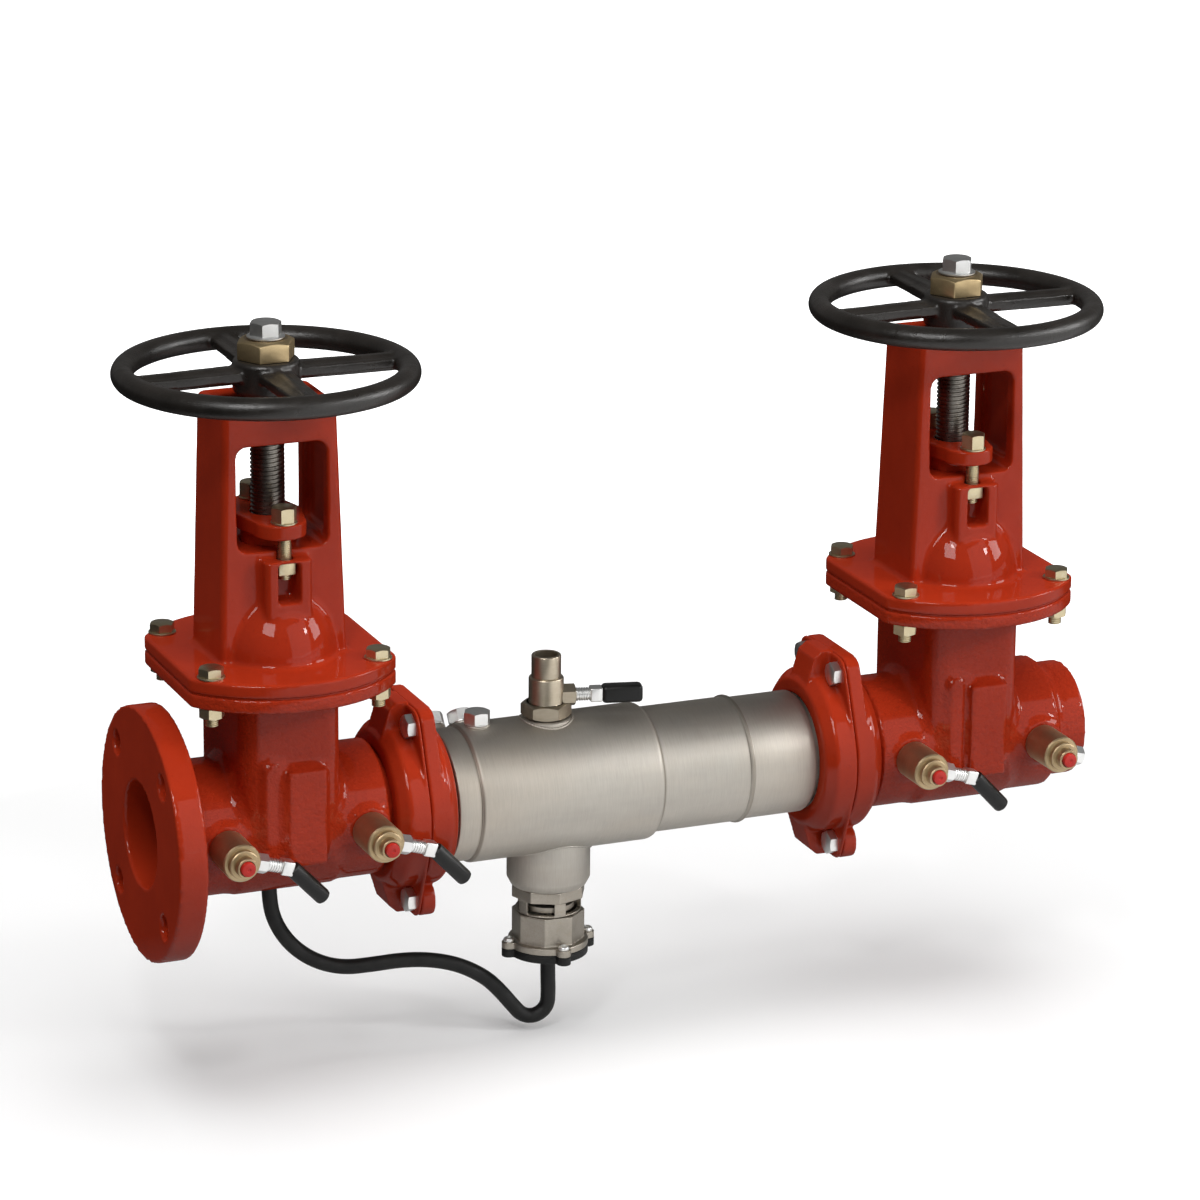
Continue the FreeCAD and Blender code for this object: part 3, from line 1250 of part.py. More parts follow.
def test_cocks():
    """Test cocks of the two valves and of the housing, their caps and levers."""
    places = [
        ("inlet_upstream", INLET_AT + " - cock_left"), ("inlet_downstream", INLET_AT + " + cock_right"),
        ("outlet_upstream", OUTLET_AT + " - cock_left"), ("outlet_downstream", OUTLET_AT + " + cock_right"),
    ]
    down = Rotation(ALONG_Y, size("branch_lean"))
    bodies = []
    caps = []
    for name, x in places:
        seat = "(cock_boss_face + cock_seat_gap)"
        barrel = along_y("CockBarrel", [
            ("cock_bore / 2 - 2", "-" + seat + " + 10"), ("cock_thread / 2", "-" + seat + " + 10"),
            ("cock_thread / 2", "-" + seat), ("cock_dia / 2", "-" + seat), ("cock_dia / 2", "-cock_shoulder"),
            ("cock_step_dia / 2", "-cock_shoulder"), ("cock_step_dia / 2", "-cock_step_end"),
            ("cock_mouth_dia / 2", "-cock_step_end"), ("cock_mouth_dia / 2", "-cock_end"),
            ("cock_bore / 2", "-cock_end"), ("cock_bore / 2", "-cock_end + cap_sunk + 1"),
            ("cock_bore / 2 - 2", "-cock_end + cap_sunk + 1")])
        stub = rod("lever_stub + 3", "lever_nut_start", "0", "-lever_at", aim="X")
        nut = prism(6, "lever_nut_flats", "lever_nut_end - lever_nut_start", "lever_nut_start", "-lever_at",
                    aim="X")
        branch = put(group(fuse(stub, nut)), turn=down)
        way_in = rod("lever_spindle + 2 * lever_gap", "30", "cock_bore / 2 + 1", "-lever_at", aim="X")
        spindle_way = put(group(way_in), turn=down)
        through = rod("cock_bore - 4", "cock_end", "0", "-cock_boss_face + 12", aim="-Y")
        bodies.append(put(cut(fuse(barrel, branch), through, spindle_way), x))
        cap = rod("cock_bore - 2 * cap_gap", "cap_sunk + cap_proud", x, "-cock_end + cap_sunk", aim="-Y")
        caps.append(cap)
        if name != "outlet_downstream":
            lever(name + "_cock_lever", x, "-lever_at", "0", "cock_bore / 2 + 2", "grip_wide", "grip_long",
                  size("grip_bend"), down)
    finish(group(*bodies), "test_cock_bodies")
    finish(group(*caps), "test_cock_caps")

    x = HOUSING_AT + " + top_cock_at"
    base = "shell_od / 2 + weld_boss_rise + cock_seat_gap"
    nut_top = base + " + top_nut_tall"
    waist = nut_top + " + top_waist_high"
    top = "shell_od / 2 + top_cock_rise"
    lever_high = "shell_od / 2 + top_lever_rise"
    barrel = along_z("TopCock", [
        ("cock_bore / 2 - 2", base + " - 12"), ("cock_thread / 2", base + " - 12"), ("cock_thread / 2", base),
        ("top_cock_waist / 2 + 2", base), ("top_cock_waist / 2 + 2", nut_top), ("top_cock_waist / 2", nut_top),
        ("top_cock_waist / 2", waist), ("top_cock_dia / 2", waist), ("top_cock_dia / 2", top + " - 1"),
        ("top_cock_dia / 2 - 1", top), ("top_mouth_dia / 2", top),
        ("top_mouth_dia / 2", top + " - top_mouth_deep"), ("cock_bore / 2 - 2", top + " - top_mouth_deep")])
    nut = prism(6, "top_nut_across", "top_nut_tall", z=base, turn=Rotation(ALONG_Z, size("top_nut_turn")))
    aside = Rotation(ALONG_Z, -size("top_branch_turn"))
    stub = rod("lever_stub + 3", "top_side_start", "0", "0", lever_high, "X")
    side_nut = prism(6, "top_side_flats", "lever_nut_end - top_side_start", "top_side_start", "0", lever_high, "X")
    branch = put(group(fuse(stub, side_nut)), turn=aside)
    way_in = rod("lever_spindle + 2 * lever_gap", "30", "cock_bore / 2 + 1", "0", lever_high, "X")
    way_up = rod("cock_bore - 4", top, "0", "0", base + " - 13")
    finish(cut(fuse(barrel, nut, branch), way_up, put(group(way_in), turn=aside)), "top_test_cock_body", x)
    lever("top_cock_lever", x, "0", lever_high, "cock_bore / 2 + 2", "top_grip_wide", "top_grip_long", 0, aside)


gate_valve("inlet", True, INLET_AT)
gate_valve("outlet", False, OUTLET_AT)
grooved_joint("first_joint", FIRST_JOINT)
grooved_joint("second_joint", SECOND_JOINT)
joint_hardware()
check_housing()
housing_plugs()
check_cartridge("first_check", "check_first_at", "shell_od")
check_cartridge("second_check", "check_second_at", "middle_od")
relief_valve()
sensing_line()
test_cocks()
doc.recompute()

failed = [thing.Label for thing in doc.Objects if "Invalid" in thing.State or "Error" in thing.State]
if failed:
    raise RuntimeError("objects that did not compute: " + ", ".join(failed))
for node in nodes:
    if node.Shape.isNull() or not node.Shape.isValid():
        raise RuntimeError("bad shape: " + node.Label)

os.makedirs("parts", exist_ok=True)
for node in nodes:
    node.Shape.exportStep("parts/" + node.Label + ".step")
print(len(nodes), "parts written")
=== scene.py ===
# %% [markdown]
# # Dressing a reduced pressure backflow assembly
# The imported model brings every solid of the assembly, already in place and riding on its body.
# This lesson turns those solids into finished pieces: painted castings, plated bolts, brushed
# stainless tube and a rubber hose. All lengths are in metres, so sizes written in millimetres are
# multiplied by MM where they are used.

import math

import bmesh
import bpy
import numpy as np
from mathutils import Matrix, Vector


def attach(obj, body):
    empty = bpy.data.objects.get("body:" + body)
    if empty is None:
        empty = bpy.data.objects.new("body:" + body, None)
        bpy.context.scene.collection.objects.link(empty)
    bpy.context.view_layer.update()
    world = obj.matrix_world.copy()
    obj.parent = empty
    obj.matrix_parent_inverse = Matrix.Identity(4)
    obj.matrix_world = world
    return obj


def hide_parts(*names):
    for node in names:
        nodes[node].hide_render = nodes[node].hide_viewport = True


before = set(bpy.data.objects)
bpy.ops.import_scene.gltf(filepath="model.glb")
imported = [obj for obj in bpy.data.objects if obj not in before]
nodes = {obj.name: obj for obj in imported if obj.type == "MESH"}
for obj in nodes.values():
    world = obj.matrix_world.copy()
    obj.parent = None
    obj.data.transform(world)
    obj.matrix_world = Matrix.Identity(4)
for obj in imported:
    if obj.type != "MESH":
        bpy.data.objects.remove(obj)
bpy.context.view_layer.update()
MM = 0.001

# %% [markdown]
# ## Camera
# The photograph looks down on the assembly a little from the left, through a long lens. The
# camera is therefore placed by its turn about the object, its tilt, its distance and a slight roll.

# %% Place the camera
CAMERA_TURN = math.radians(-22.601)
CAMERA_TILT = math.radians(17.351)
CAMERA_ROLL = math.radians(0.472)
CAMERA_DISTANCE = 3.861723
CAMERA_TARGET = Vector((0.363192, 0.0, 0.139078))
CAMERA_LENS = 154.536


def camera_axes(turn, tilt, roll):
    """Right, up and back directions of a camera that looks at its target."""
    back = Vector((math.sin(turn) * math.cos(tilt), -math.cos(turn) * math.cos(tilt), math.sin(tilt)))
    level = Vector((math.cos(turn), math.sin(turn), 0))
    upright = back.cross(level)
    right = level * math.cos(roll) + upright * math.sin(roll)
    up = upright * math.cos(roll) - level * math.sin(roll)
    return right, up, back


right, up, back = camera_axes(CAMERA_TURN, CAMERA_TILT, CAMERA_ROLL)
lens = bpy.data.cameras.new("camera")
lens.lens = CAMERA_LENS
lens.sensor_width = 36
lens.clip_end = 50
camera = bpy.data.objects.new("camera", lens)
bpy.context.scene.collection.objects.link(camera)
aim = Matrix((right, up, back)).transposed().to_4x4()
camera.matrix_world = Matrix.Translation(CAMERA_TARGET + back * CAMERA_DISTANCE) @ aim
bpy.context.scene.camera = camera
print("camera at", [round(value, 3) for value in camera.matrix_world.translation])

# %% [markdown]
# ## Sensing hose
# On the real assembly this rubber hose carries the inlet pressure to the relief valve. A free hose
# is a smooth curve, so its route points are the control points of a NURBS spline. The order and the
# end rule are set after the points, because before them they have no effect.

# %% Lay the hose
HOSE_DIAMETER = 0.0116
HOSE_ROUTE = [
    (0.1092, 0.0300, -0.0620), (0.1092, 0.0300, -0.0793), (0.1146, 0.0292, -0.0982),
    (0.1267, 0.0275, -0.1161), (0.1443, 0.0250, -0.1294), (0.1647, 0.0221, -0.1360),
    (0.1870, 0.0190, -0.1354), (0.2100, 0.0158, -0.1337), (0.2330, 0.0125, -0.1356),
    (0.2545, 0.0095, -0.1419), (0.2735, 0.0068, -0.1532), (0.2848, 0.0053, -0.1650),
    (0.2939, 0.0040, -0.1768), (0.3026, 0.0028, -0.1877), (0.3139, 0.0013, -0.1889),
    (0.3225, 0.0003, -0.1815), (0.3230, 0.0001, -0.1690), (0.3225, 0.0000, -0.1555),
    (0.3225, 0.0000, -0.1422),
]
curve = bpy.data.curves.new("sensing_hose_line", "CURVE")
curve.dimensions = "3D"
curve.bevel_depth = HOSE_DIAMETER / 2
curve.bevel_resolution = 8
curve.resolution_u = 16
curve.use_fill_caps = True
line = curve.splines.new("NURBS")
line.points.add(len(HOSE_ROUTE) - 1)
for point, place in zip(line.points, HOSE_ROUTE):
    point.co = (*place, 1)
line.order_u = 3
line.use_endpoint_u = True
hose = bpy.data.objects.new("hose", curve)
bpy.context.scene.collection.objects.link(hose)
bpy.context.view_layer.update()

# %% Hand the hose over
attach(hose, "assembly")
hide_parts("sensing_hose")
print("hose ends at", HOSE_ROUTE[-1])

# %% [markdown]
# ## Floor and light
# The photograph has a white sweep with one soft shadow under the object, bright square reflections
# in the paint, and faces that look left stay dark. The floor and every finish are node materials.
# Their arithmetic could be written node by node, but that hides the sum, so a wire stands for a
# socket here and can be added or multiplied like a number.


# %% A wire that counts like a number
class Wire:
    """A shader socket that can stand in a Python expression."""

    def __init__(self, paint, socket):
        self.paint = paint
        self.socket = socket

    def __add__(self, other):
        return self.paint.math("ADD", self, other)

    __radd__ = __add__

    def __sub__(self, other):
        return self.paint.math("SUBTRACT", self, other)

    def __rsub__(self, other):
        return self.paint.math("SUBTRACT", other, self)

    def __mul__(self, other):
        return self.paint.math("MULTIPLY", self, other)

    __rmul__ = __mul__


# %% [markdown]
# One method makes any node, and a few short ones give what the floor and the world ask for: which kind
# of ray has hit, where the point lies, and a value moved from one range to another.


# %% The nodes of a material
class Paint:
    """The nodes of one material, or of the world, and the few ways in which they are built."""

    def __init__(self, name, world=None):
        self.material = world or bpy.data.materials.new(name)
        self.material.use_nodes = True
        self.tree = self.material.node_tree
        self.tree.nodes.clear()
        self.out = self.tree.nodes.new("ShaderNodeOutputWorld" if world else "ShaderNodeOutputMaterial")

    def node(self, kind, settings=None, sockets=None, output=0):
        """Any node: its settings first, then the values or wires of its sockets."""
        made = self.tree.nodes.new(kind)
        for name, value in (settings or {}).items():
            setattr(made, name, value)
        for name, value in (sockets or {}).items():
            if isinstance(value, Wire):
                self.tree.links.new(value.socket, made.inputs[name])
            else:
                made.inputs[name].default_value = value
        return Wire(self, made.outputs[output])

    def show(self, shader):
        """Send a shader to the output."""
        self.tree.links.new(shader.socket, self.out.inputs[0])

    def math(self, operation, *values):
        return self.node("ShaderNodeMath", {"operation": operation}, dict(enumerate(values)))

    def ray(self, kind):
        """1 where a ray of one kind has hit, 0 for all others."""
        return self.node("ShaderNodeLightPath", output="Is %s Ray" % kind)

    def axis(self, name):
        """One coordinate of the object's place."""
        spot = self.node("ShaderNodeTexCoord", output="Object")
        return self.node("ShaderNodeSeparateXYZ", {}, {"Vector": spot}, output=name)

    def spread(self, value, low, high, first=0.0, last=1.0):
        """A value moved from one range to another and held there."""
        sockets = {"Value": value, "From Min": low, "From Max": high, "To Min": first, "To Max": last}
        return self.node("ShaderNodeMapRange", {}, sockets)


# %% [markdown]
# The floor asks what kind of ray has hit it. The camera sees white, and metal shows the white floor
# in front of the object but not the floor behind it. All other rays see the plain grey that lights
# the object from below. Near the object the floor glows less than far off, so the sum of light and
# glow is white everywhere but shadows still show.

# %% Paint the floor
FLOOR_LEVEL = -0.2005
FLOOR_CENTRE = (0.35, 0, FLOOR_LEVEL)
FLOOR_SHARE = 0.82
FLOOR_BOUNCE = 0.25
FLOOR_BEHIND = 0.03
FRONT_ENDS = (-0.05, 0.30)
LEFT_ENDS = (-0.35, 0.0)
GLOW_NEAR = 0.15
GLOW_FROM = 0.7
GLOW_TO = 1.5

sweep = Paint("white_sweep")
direct = sweep.math("MAXIMUM", sweep.ray("Camera"), sweep.ray("Transmission"))
glossy = sweep.ray("Glossy")
in_front = sweep.spread(sweep.axis("Y"), *FRONT_ENDS, 1.0, 0.0) * sweep.spread(sweep.axis("X"), *LEFT_ENDS)
mirrored = glossy * in_front
spot = sweep.node("ShaderNodeTexCoord", output="Object")
ends = {0: spot, 1: FLOOR_CENTRE}
away = sweep.node("ShaderNodeVectorMath", {"operation": "DISTANCE"}, ends, output="Value")
glow = direct * sweep.spread(away, GLOW_FROM, GLOW_TO, GLOW_NEAR, 1.0) + mirrored * GLOW_NEAR
level = FLOOR_BOUNCE + direct * (FLOOR_SHARE - FLOOR_BOUNCE) + mirrored * (FLOOR_SHARE - FLOOR_BEHIND)
level = level - glossy * (FLOOR_BOUNCE - FLOOR_BEHIND)
grey = sweep.node("ShaderNodeCombineXYZ", {}, {"X": level, "Y": level, "Z": level})
lit = sweep.node("ShaderNodeBsdfDiffuse", {}, {"Color": grey})
shine = sweep.node("ShaderNodeEmission", {}, {"Strength": glow})
sweep.show(sweep.node("ShaderNodeAddShader", {}, {0: lit, 1: shine}))
print("floor nodes", len(sweep.tree.nodes))

# %% Lay the floor
FLOOR_HALF = 30
FLOOR_BACK = 12
ground = bmesh.new()
bmesh.ops.create_grid(ground, x_segments=1, y_segments=1, size=FLOOR_HALF,
                      matrix=Matrix.Translation((FLOOR_CENTRE[0], FLOOR_BACK, FLOOR_LEVEL)))
floor_mesh = bpy.data.meshes.new("floor")
ground.to_mesh(floor_mesh)
floor = bpy.data.objects.new("floor", floor_mesh)
floor_mesh.materials.append(sweep.material)
bpy.context.scene.collection.objects.link(floor)
print("floor at", FLOOR_LEVEL)

# %% [markdown]
# The world asks the same question. The camera sees white behind the floor's edge, metal sees a dark
# room, as in a studio, and the paint is lit by a weak even grey that keeps the shadows open.

# %% Surround it with the world
WORLD_LEVEL = 0.24
WORLD_IN_METAL = 0.144

world = bpy.data.worlds.new("studio")
bpy.context.scene.world = world
room = Paint("studio", world)
seen = room.ray("Camera") + room.ray("Transmission")
strength = WORLD_LEVEL + seen * (1 - WORLD_LEVEL) + room.ray("Glossy") * (WORLD_IN_METAL - WORLD_LEVEL)
room.show(room.node("ShaderNodeBackground", {}, {"Color": (1, 1, 1, 1), "Strength": strength}))
print("world nodes", len(room.tree.nodes))

# %% [markdown]
# A wide sun overhead casts the soft shadow. Metal doesn't show it, because it would turn the top of
# the tube white. A large card and two small lamps light the front, more from the right than from the
# left. The two windows give no light of their own: they show only as reflections, which are the
# bright squares on the domes and rings.


# %% Hang the lamps
def lamp(name, place, size, power, kind="AREA", mirrored=True, lights=True):
    """A square lamp or a wide sun aimed at the object. It lights, shows as a reflection, or both."""
    light = bpy.data.lights.new(name, kind)
    if kind == "SUN":
        light.angle = math.radians(size)
    else:
        light.size = size
    light.energy = power
    holder = bpy.data.objects.new(name, light)
    bpy.context.scene.collection.objects.link(holder)
    heading = Vector(LAMP_TARGET) - Vector(place)
    holder.matrix_world = Matrix.Translation(place) @ heading.to_track_quat("-Z", "Y").to_matrix().to_4x4()
    holder.visible_glossy = mirrored
    holder.visible_diffuse = lights


LAMP_TARGET = (0.37, 0, 0.08)
lamp("sun", (0.42, -0.30, 2.5), 56, 2.15, "SUN", mirrored=False)
lamp("card", (1.9, -2.9, 1.3), 3.0, 36)
lamp("key_right", (2.5, -2.0, 1.6), 0.34, 15)
lamp("key_left", (-0.9, -1.7, 2.3), 0.34, 10)
lamp("window_left", (-1.4, -1.9, 2.1), 1.2, 46, lights=False)
lamp("window_right", (3.3, -0.9, 1.2), 1.2, 42, lights=False)
bpy.context.scene.view_settings.view_transform = "Standard"
print("lamps", len(bpy.data.lights))

# %% [markdown]
# ## Finishes
# Each finish is one material. Colours vary slowly over the piece, roughness varies with handling,
# and a fine bump gives the grain: the skin of a casting, the lines of a lathe tool or of a brush. An
# image could carry all that, but it would need every piece unwrapped. Noise on Object coordinates
# needs no unwrapping and has no seams.


# %% What a finish needs besides
def rgba(value):
    """A colour with its fourth number, or a wire as it is."""
    return value if isinstance(value, Wire) else (*value, 1)


class Finish(Paint):
    """A material with the patterns of a surface."""

    def place(self, scale=(1, 1, 1)):
        """Object coordinates, stretched for a grain that runs one way."""
        spot = self.node("ShaderNodeTexCoord", output="Object")
        return self.node("ShaderNodeMapping", {}, {"Vector": spot, "Scale": scale})

    def noise(self, scale, detail=3.0, rough=0.5, stretch=(1, 1, 1)):
        """A cloud of values about 0.5, with scale features to a metre."""
        sockets = {"Vector": self.place(stretch), "Scale": scale, "Detail": detail, "Roughness": rough}
        return self.node("ShaderNodeTexNoise", {}, sockets)

    def blend(self, factor, first, second):
        """A colour between two colours."""
        sockets = {0: factor, 6: rgba(first), 7: rgba(second)}
        return self.node("ShaderNodeMix", {"data_type": "RGBA"}, sockets, output=2)

    def bump(self, height, depth, under=None):
        """A surface relief of the given depth in metres."""
        sockets = {"Height": height, "Distance": depth, "Strength": 1.0}
        if under is not None:
            sockets["Normal"] = under
        return self.node("ShaderNodeBump", {}, sockets)

    def surface(self, colour, roughness, normal=None, **fixed):
        """The surface shader: fixed values go straight to its sockets."""
        sockets = {"Base Color": rgba(colour), "Roughness": roughness}
        if normal is not None:
            sockets["Normal"] = normal
        for name, value in fixed.items():
            sockets[name.replace("_", " ")] = value
        self.show(self.node("ShaderNodeBsdfPrincipled", {}, sockets))
        return self.material


# %% [markdown]
# The valves are cast iron under red epoxy, which is glossy and follows the skin of the casting. The
# paint takes its shine from a clear coat alone, because that keeps its red deep between the bright
# reflections.


# %% Red epoxy over cast iron
FLANGE_THICK = 0.022
FLANGE_SKIN = 0.12


def red_epoxy(name, depth):
    """Glossy paint over a cast skin of the given depth. The machined flange stays smooth."""
    paint = Finish(name)
    cloud = paint.noise(14, 4, 0.6)
    fine = paint.noise(260, 3, 0.6)
    grain = paint.noise(1500, 2, 0.5)
    colour = paint.blend(paint.spread(cloud, 0.3, 0.7), (0.38, 0.028, 0.008), (0.46, 0.035, 0.010))
    speck = paint.spread(fine, 0.62, 0.78, 0.0, 0.35)
    colour = paint.blend(speck, colour, (0.24, 0.012, 0.004))
    cast = paint.spread(paint.axis("X"), FLANGE_THICK - 0.001, FLANGE_THICK + 0.012, FLANGE_SKIN, 1.0)
    skin = paint.bump(fine * cast, depth)
    skin = paint.bump(grain, 0.00007, skin)
    roughness = paint.spread(paint.noise(60, 3), 0.3, 0.7, 0.06, 0.14)
    gloss = {"Specular_IOR_Level": 0.0, "Coat_Weight": 0.36, "Coat_Roughness": 0.03}
    return paint.surface(colour, roughness, skin, **gloss)


RED = red_epoxy("red_epoxy", 0.00018)
RED_CAST = red_epoxy("red_epoxy_cast", 0.0016)
print(RED.name, RED_CAST.name)

# %% [markdown]
# The black parts are of three kinds: the wheel's enamel, the dipped grips, and the rubber and plastic
# below. Each has a slow change of colour and of roughness, which keeps black from looking flat.


# %% Black enamel, grips, rubber and plastic
def black(name, dark, light, clouds, handling, rough, bump, **fixed):
    """A black finish: its two shades, the scales of its clouds and its roughness, and its bump."""
    paint = Finish(name)
    grain = paint.noise(bump[0], 3, 0.6)
    colour = paint.blend(paint.spread(paint.noise(clouds, 3), 0.35, 0.7), dark, light)
    roughness = paint.spread(paint.noise(handling, 4), 0.3, 0.7, *rough)
    return paint.surface(colour, roughness, paint.bump(grain, bump[1]), **fixed)


def black_moulding(name, rough, depth):
    shades = ((0.004, 0.004, 0.004), (0.010, 0.010, 0.009))
    return black(name, *shades, 50, 120, rough, (1800, depth), Specular_IOR_Level=0.3)


ENAMEL = black("black_enamel", (0.010, 0.008, 0.006), (0.022, 0.018, 0.015), 30, 90, (0.26, 0.42),
               (700, 0.00022), IOR=1.5)
GRIP = black_moulding("black_grip", (0.28, 0.44), 0.00008)
RUBBER = black_moulding("black_rubber", (0.38, 0.60), 0.00010)
COVER = black_moulding("black_cover", (0.40, 0.62), 0.00012)
curve.materials.append(RUBBER)
print(ENAMEL.name, GRIP.name, RUBBER.name, COVER.name)

# %% [markdown]
# Metals share one recipe: a slow change of colour, a stretched noise for tool or brush lines, and
# dull spots where hands or water have been. The stretch says which way the lines run.

# %% Plated, turned and cast metals
def metal(name, light, dark, rough, stretch=(1, 1, 1), line_scale=900, depth=0.00004, spots=None):
    """A bare metal: its two shades, its range of roughness, and its tool lines."""
    paint = Finish(name)
    cloud = paint.spread(paint.noise(38, 4, 0.6), 0.3, 0.7)
    lines = paint.noise(line_scale, 3, 0.6, stretch)
    colour = paint.blend(cloud, dark, light)
    colour = paint.blend(paint.spread(lines, 0.35, 0.75, 0.0, 0.35), colour, dark)
    if spots:
        patches = paint.spread(paint.noise(210, 5, 0.7), 0.56, 0.72)
        colour = paint.blend(patches * 0.7, colour, spots)
    roughness = paint.spread(lines, 0.25, 0.75, *rough)
    return paint.surface(colour, roughness, paint.bump(lines, depth), Metallic=1.0)


ROUND_Y = (0.3, 3, 0.3)
ROUND_Z = (0.3, 0.3, 3)
ZINC = metal("yellow_zinc", (0.66, 0.57, 0.38), (0.46, 0.39, 0.25), (0.28, 0.44), spots=(0.58, 0.55, 0.44))
GOLD = metal("gold_nut", (0.62, 0.48, 0.27), (0.44, 0.33, 0.18), (0.34, 0.50))
SILVER = metal("bright_zinc", (0.82, 0.82, 0.80), (0.70, 0.70, 0.69), (0.30, 0.44), depth=0.00002)
STEM = metal("greased_steel", (0.30, 0.28, 0.25), (0.09, 0.08, 0.07), (0.22, 0.42),
             spots=(0.04, 0.035, 0.03))
BRONZE = metal("bronze", (0.40, 0.29, 0.16), (0.28, 0.20, 0.11), (0.30, 0.46))
BRASS = metal("turned_brass", (0.50, 0.385, 0.235), (0.38, 0.29, 0.17), (0.42, 0.58), ROUND_Y, 500, 0.00006)
COCK_TOP = metal("cock_bronze", (0.47, 0.41, 0.32), (0.33, 0.285, 0.215), (0.30, 0.46), ROUND_Z, 500, 0.00006)
RELIEF = metal("relief_bronze", (0.40, 0.365, 0.315), (0.285, 0.26, 0.22), (0.34, 0.52), depth=0.00012,
               spots=(0.32, 0.27, 0.21))
print("metals and paints", len(bpy.data.materials))

# %% [markdown]
# The tube is rolled stainless sheet. Its brush lines run round it, soft streaks run along it, and the
# heat of each weld has left a dark line beside the bead.

# %% Satin stainless
WELDS = (0.2498, 0.3973, 0.4704)
WELD_LINE = (0.0008, 0.0022)


def satin_stainless():
    paint = Finish("satin_stainless")
    lines = paint.noise(600, 4, 0.65, (3.2, 0.12, 0.12))
    cloud = paint.spread(paint.noise(20, 4, 0.6, (0.25, 1, 1)), 0.3, 0.7)
    colour = paint.blend(cloud, (0.38, 0.36, 0.325), (0.51, 0.48, 0.43))
    stain = paint.spread(paint.noise(9, 5, 0.65, (0.6, 1, 1)), 0.45, 0.75, 0.0, 0.6)
    colour = paint.blend(stain, colour, (0.47, 0.405, 0.33))
    colour = paint.blend(paint.spread(lines, 0.3, 0.75, 0.0, 0.25), colour, (0.31, 0.29, 0.26))
    along = paint.axis("X")
    for weld_x in WELDS:
        apart = paint.math("ABSOLUTE", along - weld_x)
        colour = paint.blend(paint.spread(apart, *WELD_LINE, 0.6, 0.0), colour, (0.22, 0.195, 0.16))
    roughness = paint.spread(lines, 0.25, 0.75, 0.46, 0.60)
    return paint.surface(colour, roughness, paint.bump(lines, 0.00005), Metallic=1.0)


STAINLESS = satin_stainless()
print(STAINLESS.name, "with", len(WELDS), "weld lines")

# %% [markdown]
# Two small finishes are left: the red plastic of the cock plugs and the braided stem packing.


# %% Red plugs and packing
def red_plug():
    paint = Finish("red_plug")
    cloud = paint.spread(paint.noise(80, 3), 0.35, 0.7)
    colour = paint.blend(cloud, (0.50, 0.016, 0.010), (0.60, 0.028, 0.018))
    roughness = paint.spread(paint.noise(200, 3), 0.3, 0.7, 0.32, 0.48)
    return paint.surface(colour, roughness, paint.bump(paint.noise(1500, 2), 0.00006), IOR=1.46)


def packing_braid():
    paint = Finish("packing_braid")
    weave = paint.noise(900, 4, 0.7, (1, 1, 2.5))
    colour = paint.blend(paint.spread(weave, 0.35, 0.65), (0.05, 0.048, 0.045), (0.16, 0.155, 0.145))
    return paint.surface(colour, paint.spread(weave, 0.3, 0.7, 0.6, 0.85), paint.bump(weave, 0.0003))


CAP_RED = red_plug()
BRAID = packing_braid()
print("finishes", len(bpy.data.materials))

# %% [markdown]
# ## Pieces
# Every finished piece is made in the same way: its mesh takes a finish, its object rides on a body of
# the model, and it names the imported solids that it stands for. A piece stays at the origin with its
# place in its mesh, so a pattern on Object coordinates stays where it is.


# %% Make a piece
def piece(name, shape, body, finish, stands_for=(), angle=35):
    """Make an object from a shape, set its finish and let it ride."""
    mesh = bpy.data.meshes.new(name)
    if isinstance(shape, bmesh.types.BMesh):
        for face in shape.faces:
            face.smooth = True
        shape.to_mesh(mesh)
        mesh.set_sharp_from_angle(angle=math.radians(angle))
    else:
        mesh = shape
        mesh.name = name
    mesh.materials.clear()
    mesh.materials.append(finish)
    made = bpy.data.objects.new(name, mesh)
    bpy.context.scene.collection.objects.link(made)
    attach(made, body)
    if stands_for:
        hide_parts(*stands_for)
    print(name, len(mesh.polygons), "faces")
    return made


# %% [markdown]
# ## Castings
# A painted casting has no sharp edges: outer corners are rounded and inner corners are filled. The
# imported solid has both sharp. A bevel could round them, but it breaks where many curved faces meet, so
# a copy of the solid is rebuilt on an even grid of small faces and relaxed a little.


# %% Relax a mesh
def relax(mesh, rounds, mask=None):
    """Run the Smooth modifier's rounds on a mesh, on all points or on masked ones."""
    holder = bpy.data.objects.new("relax", mesh)
    bpy.context.scene.collection.objects.link(holder)
    smooth = holder.modifiers.new("relax", "SMOOTH")
    smooth.factor = 0.5
    smooth.iterations = rounds
    if mask is not None:
        group = holder.vertex_groups.new(name="hollow")
        for level in (0.25, 0.5, 0.75, 1.0):
            group.add(np.nonzero(mask > level - 0.125)[0].tolist(), level, "REPLACE")
        smooth.vertex_group = "hollow"
    done = bpy.data.meshes.new_from_object(holder.evaluated_get(bpy.context.evaluated_depsgraph_get()))
    bpy.data.objects.remove(holder)
    return done


# %% [markdown]
# The inner corners are relaxed much longer than the rest, which fills them the way a pattern maker's
# fillet does. A point sits in an inner corner when the middle of its neighbours lies outside the
# surface there.

# %% Find the inner corners
SPREAD_GAIN = 1.15


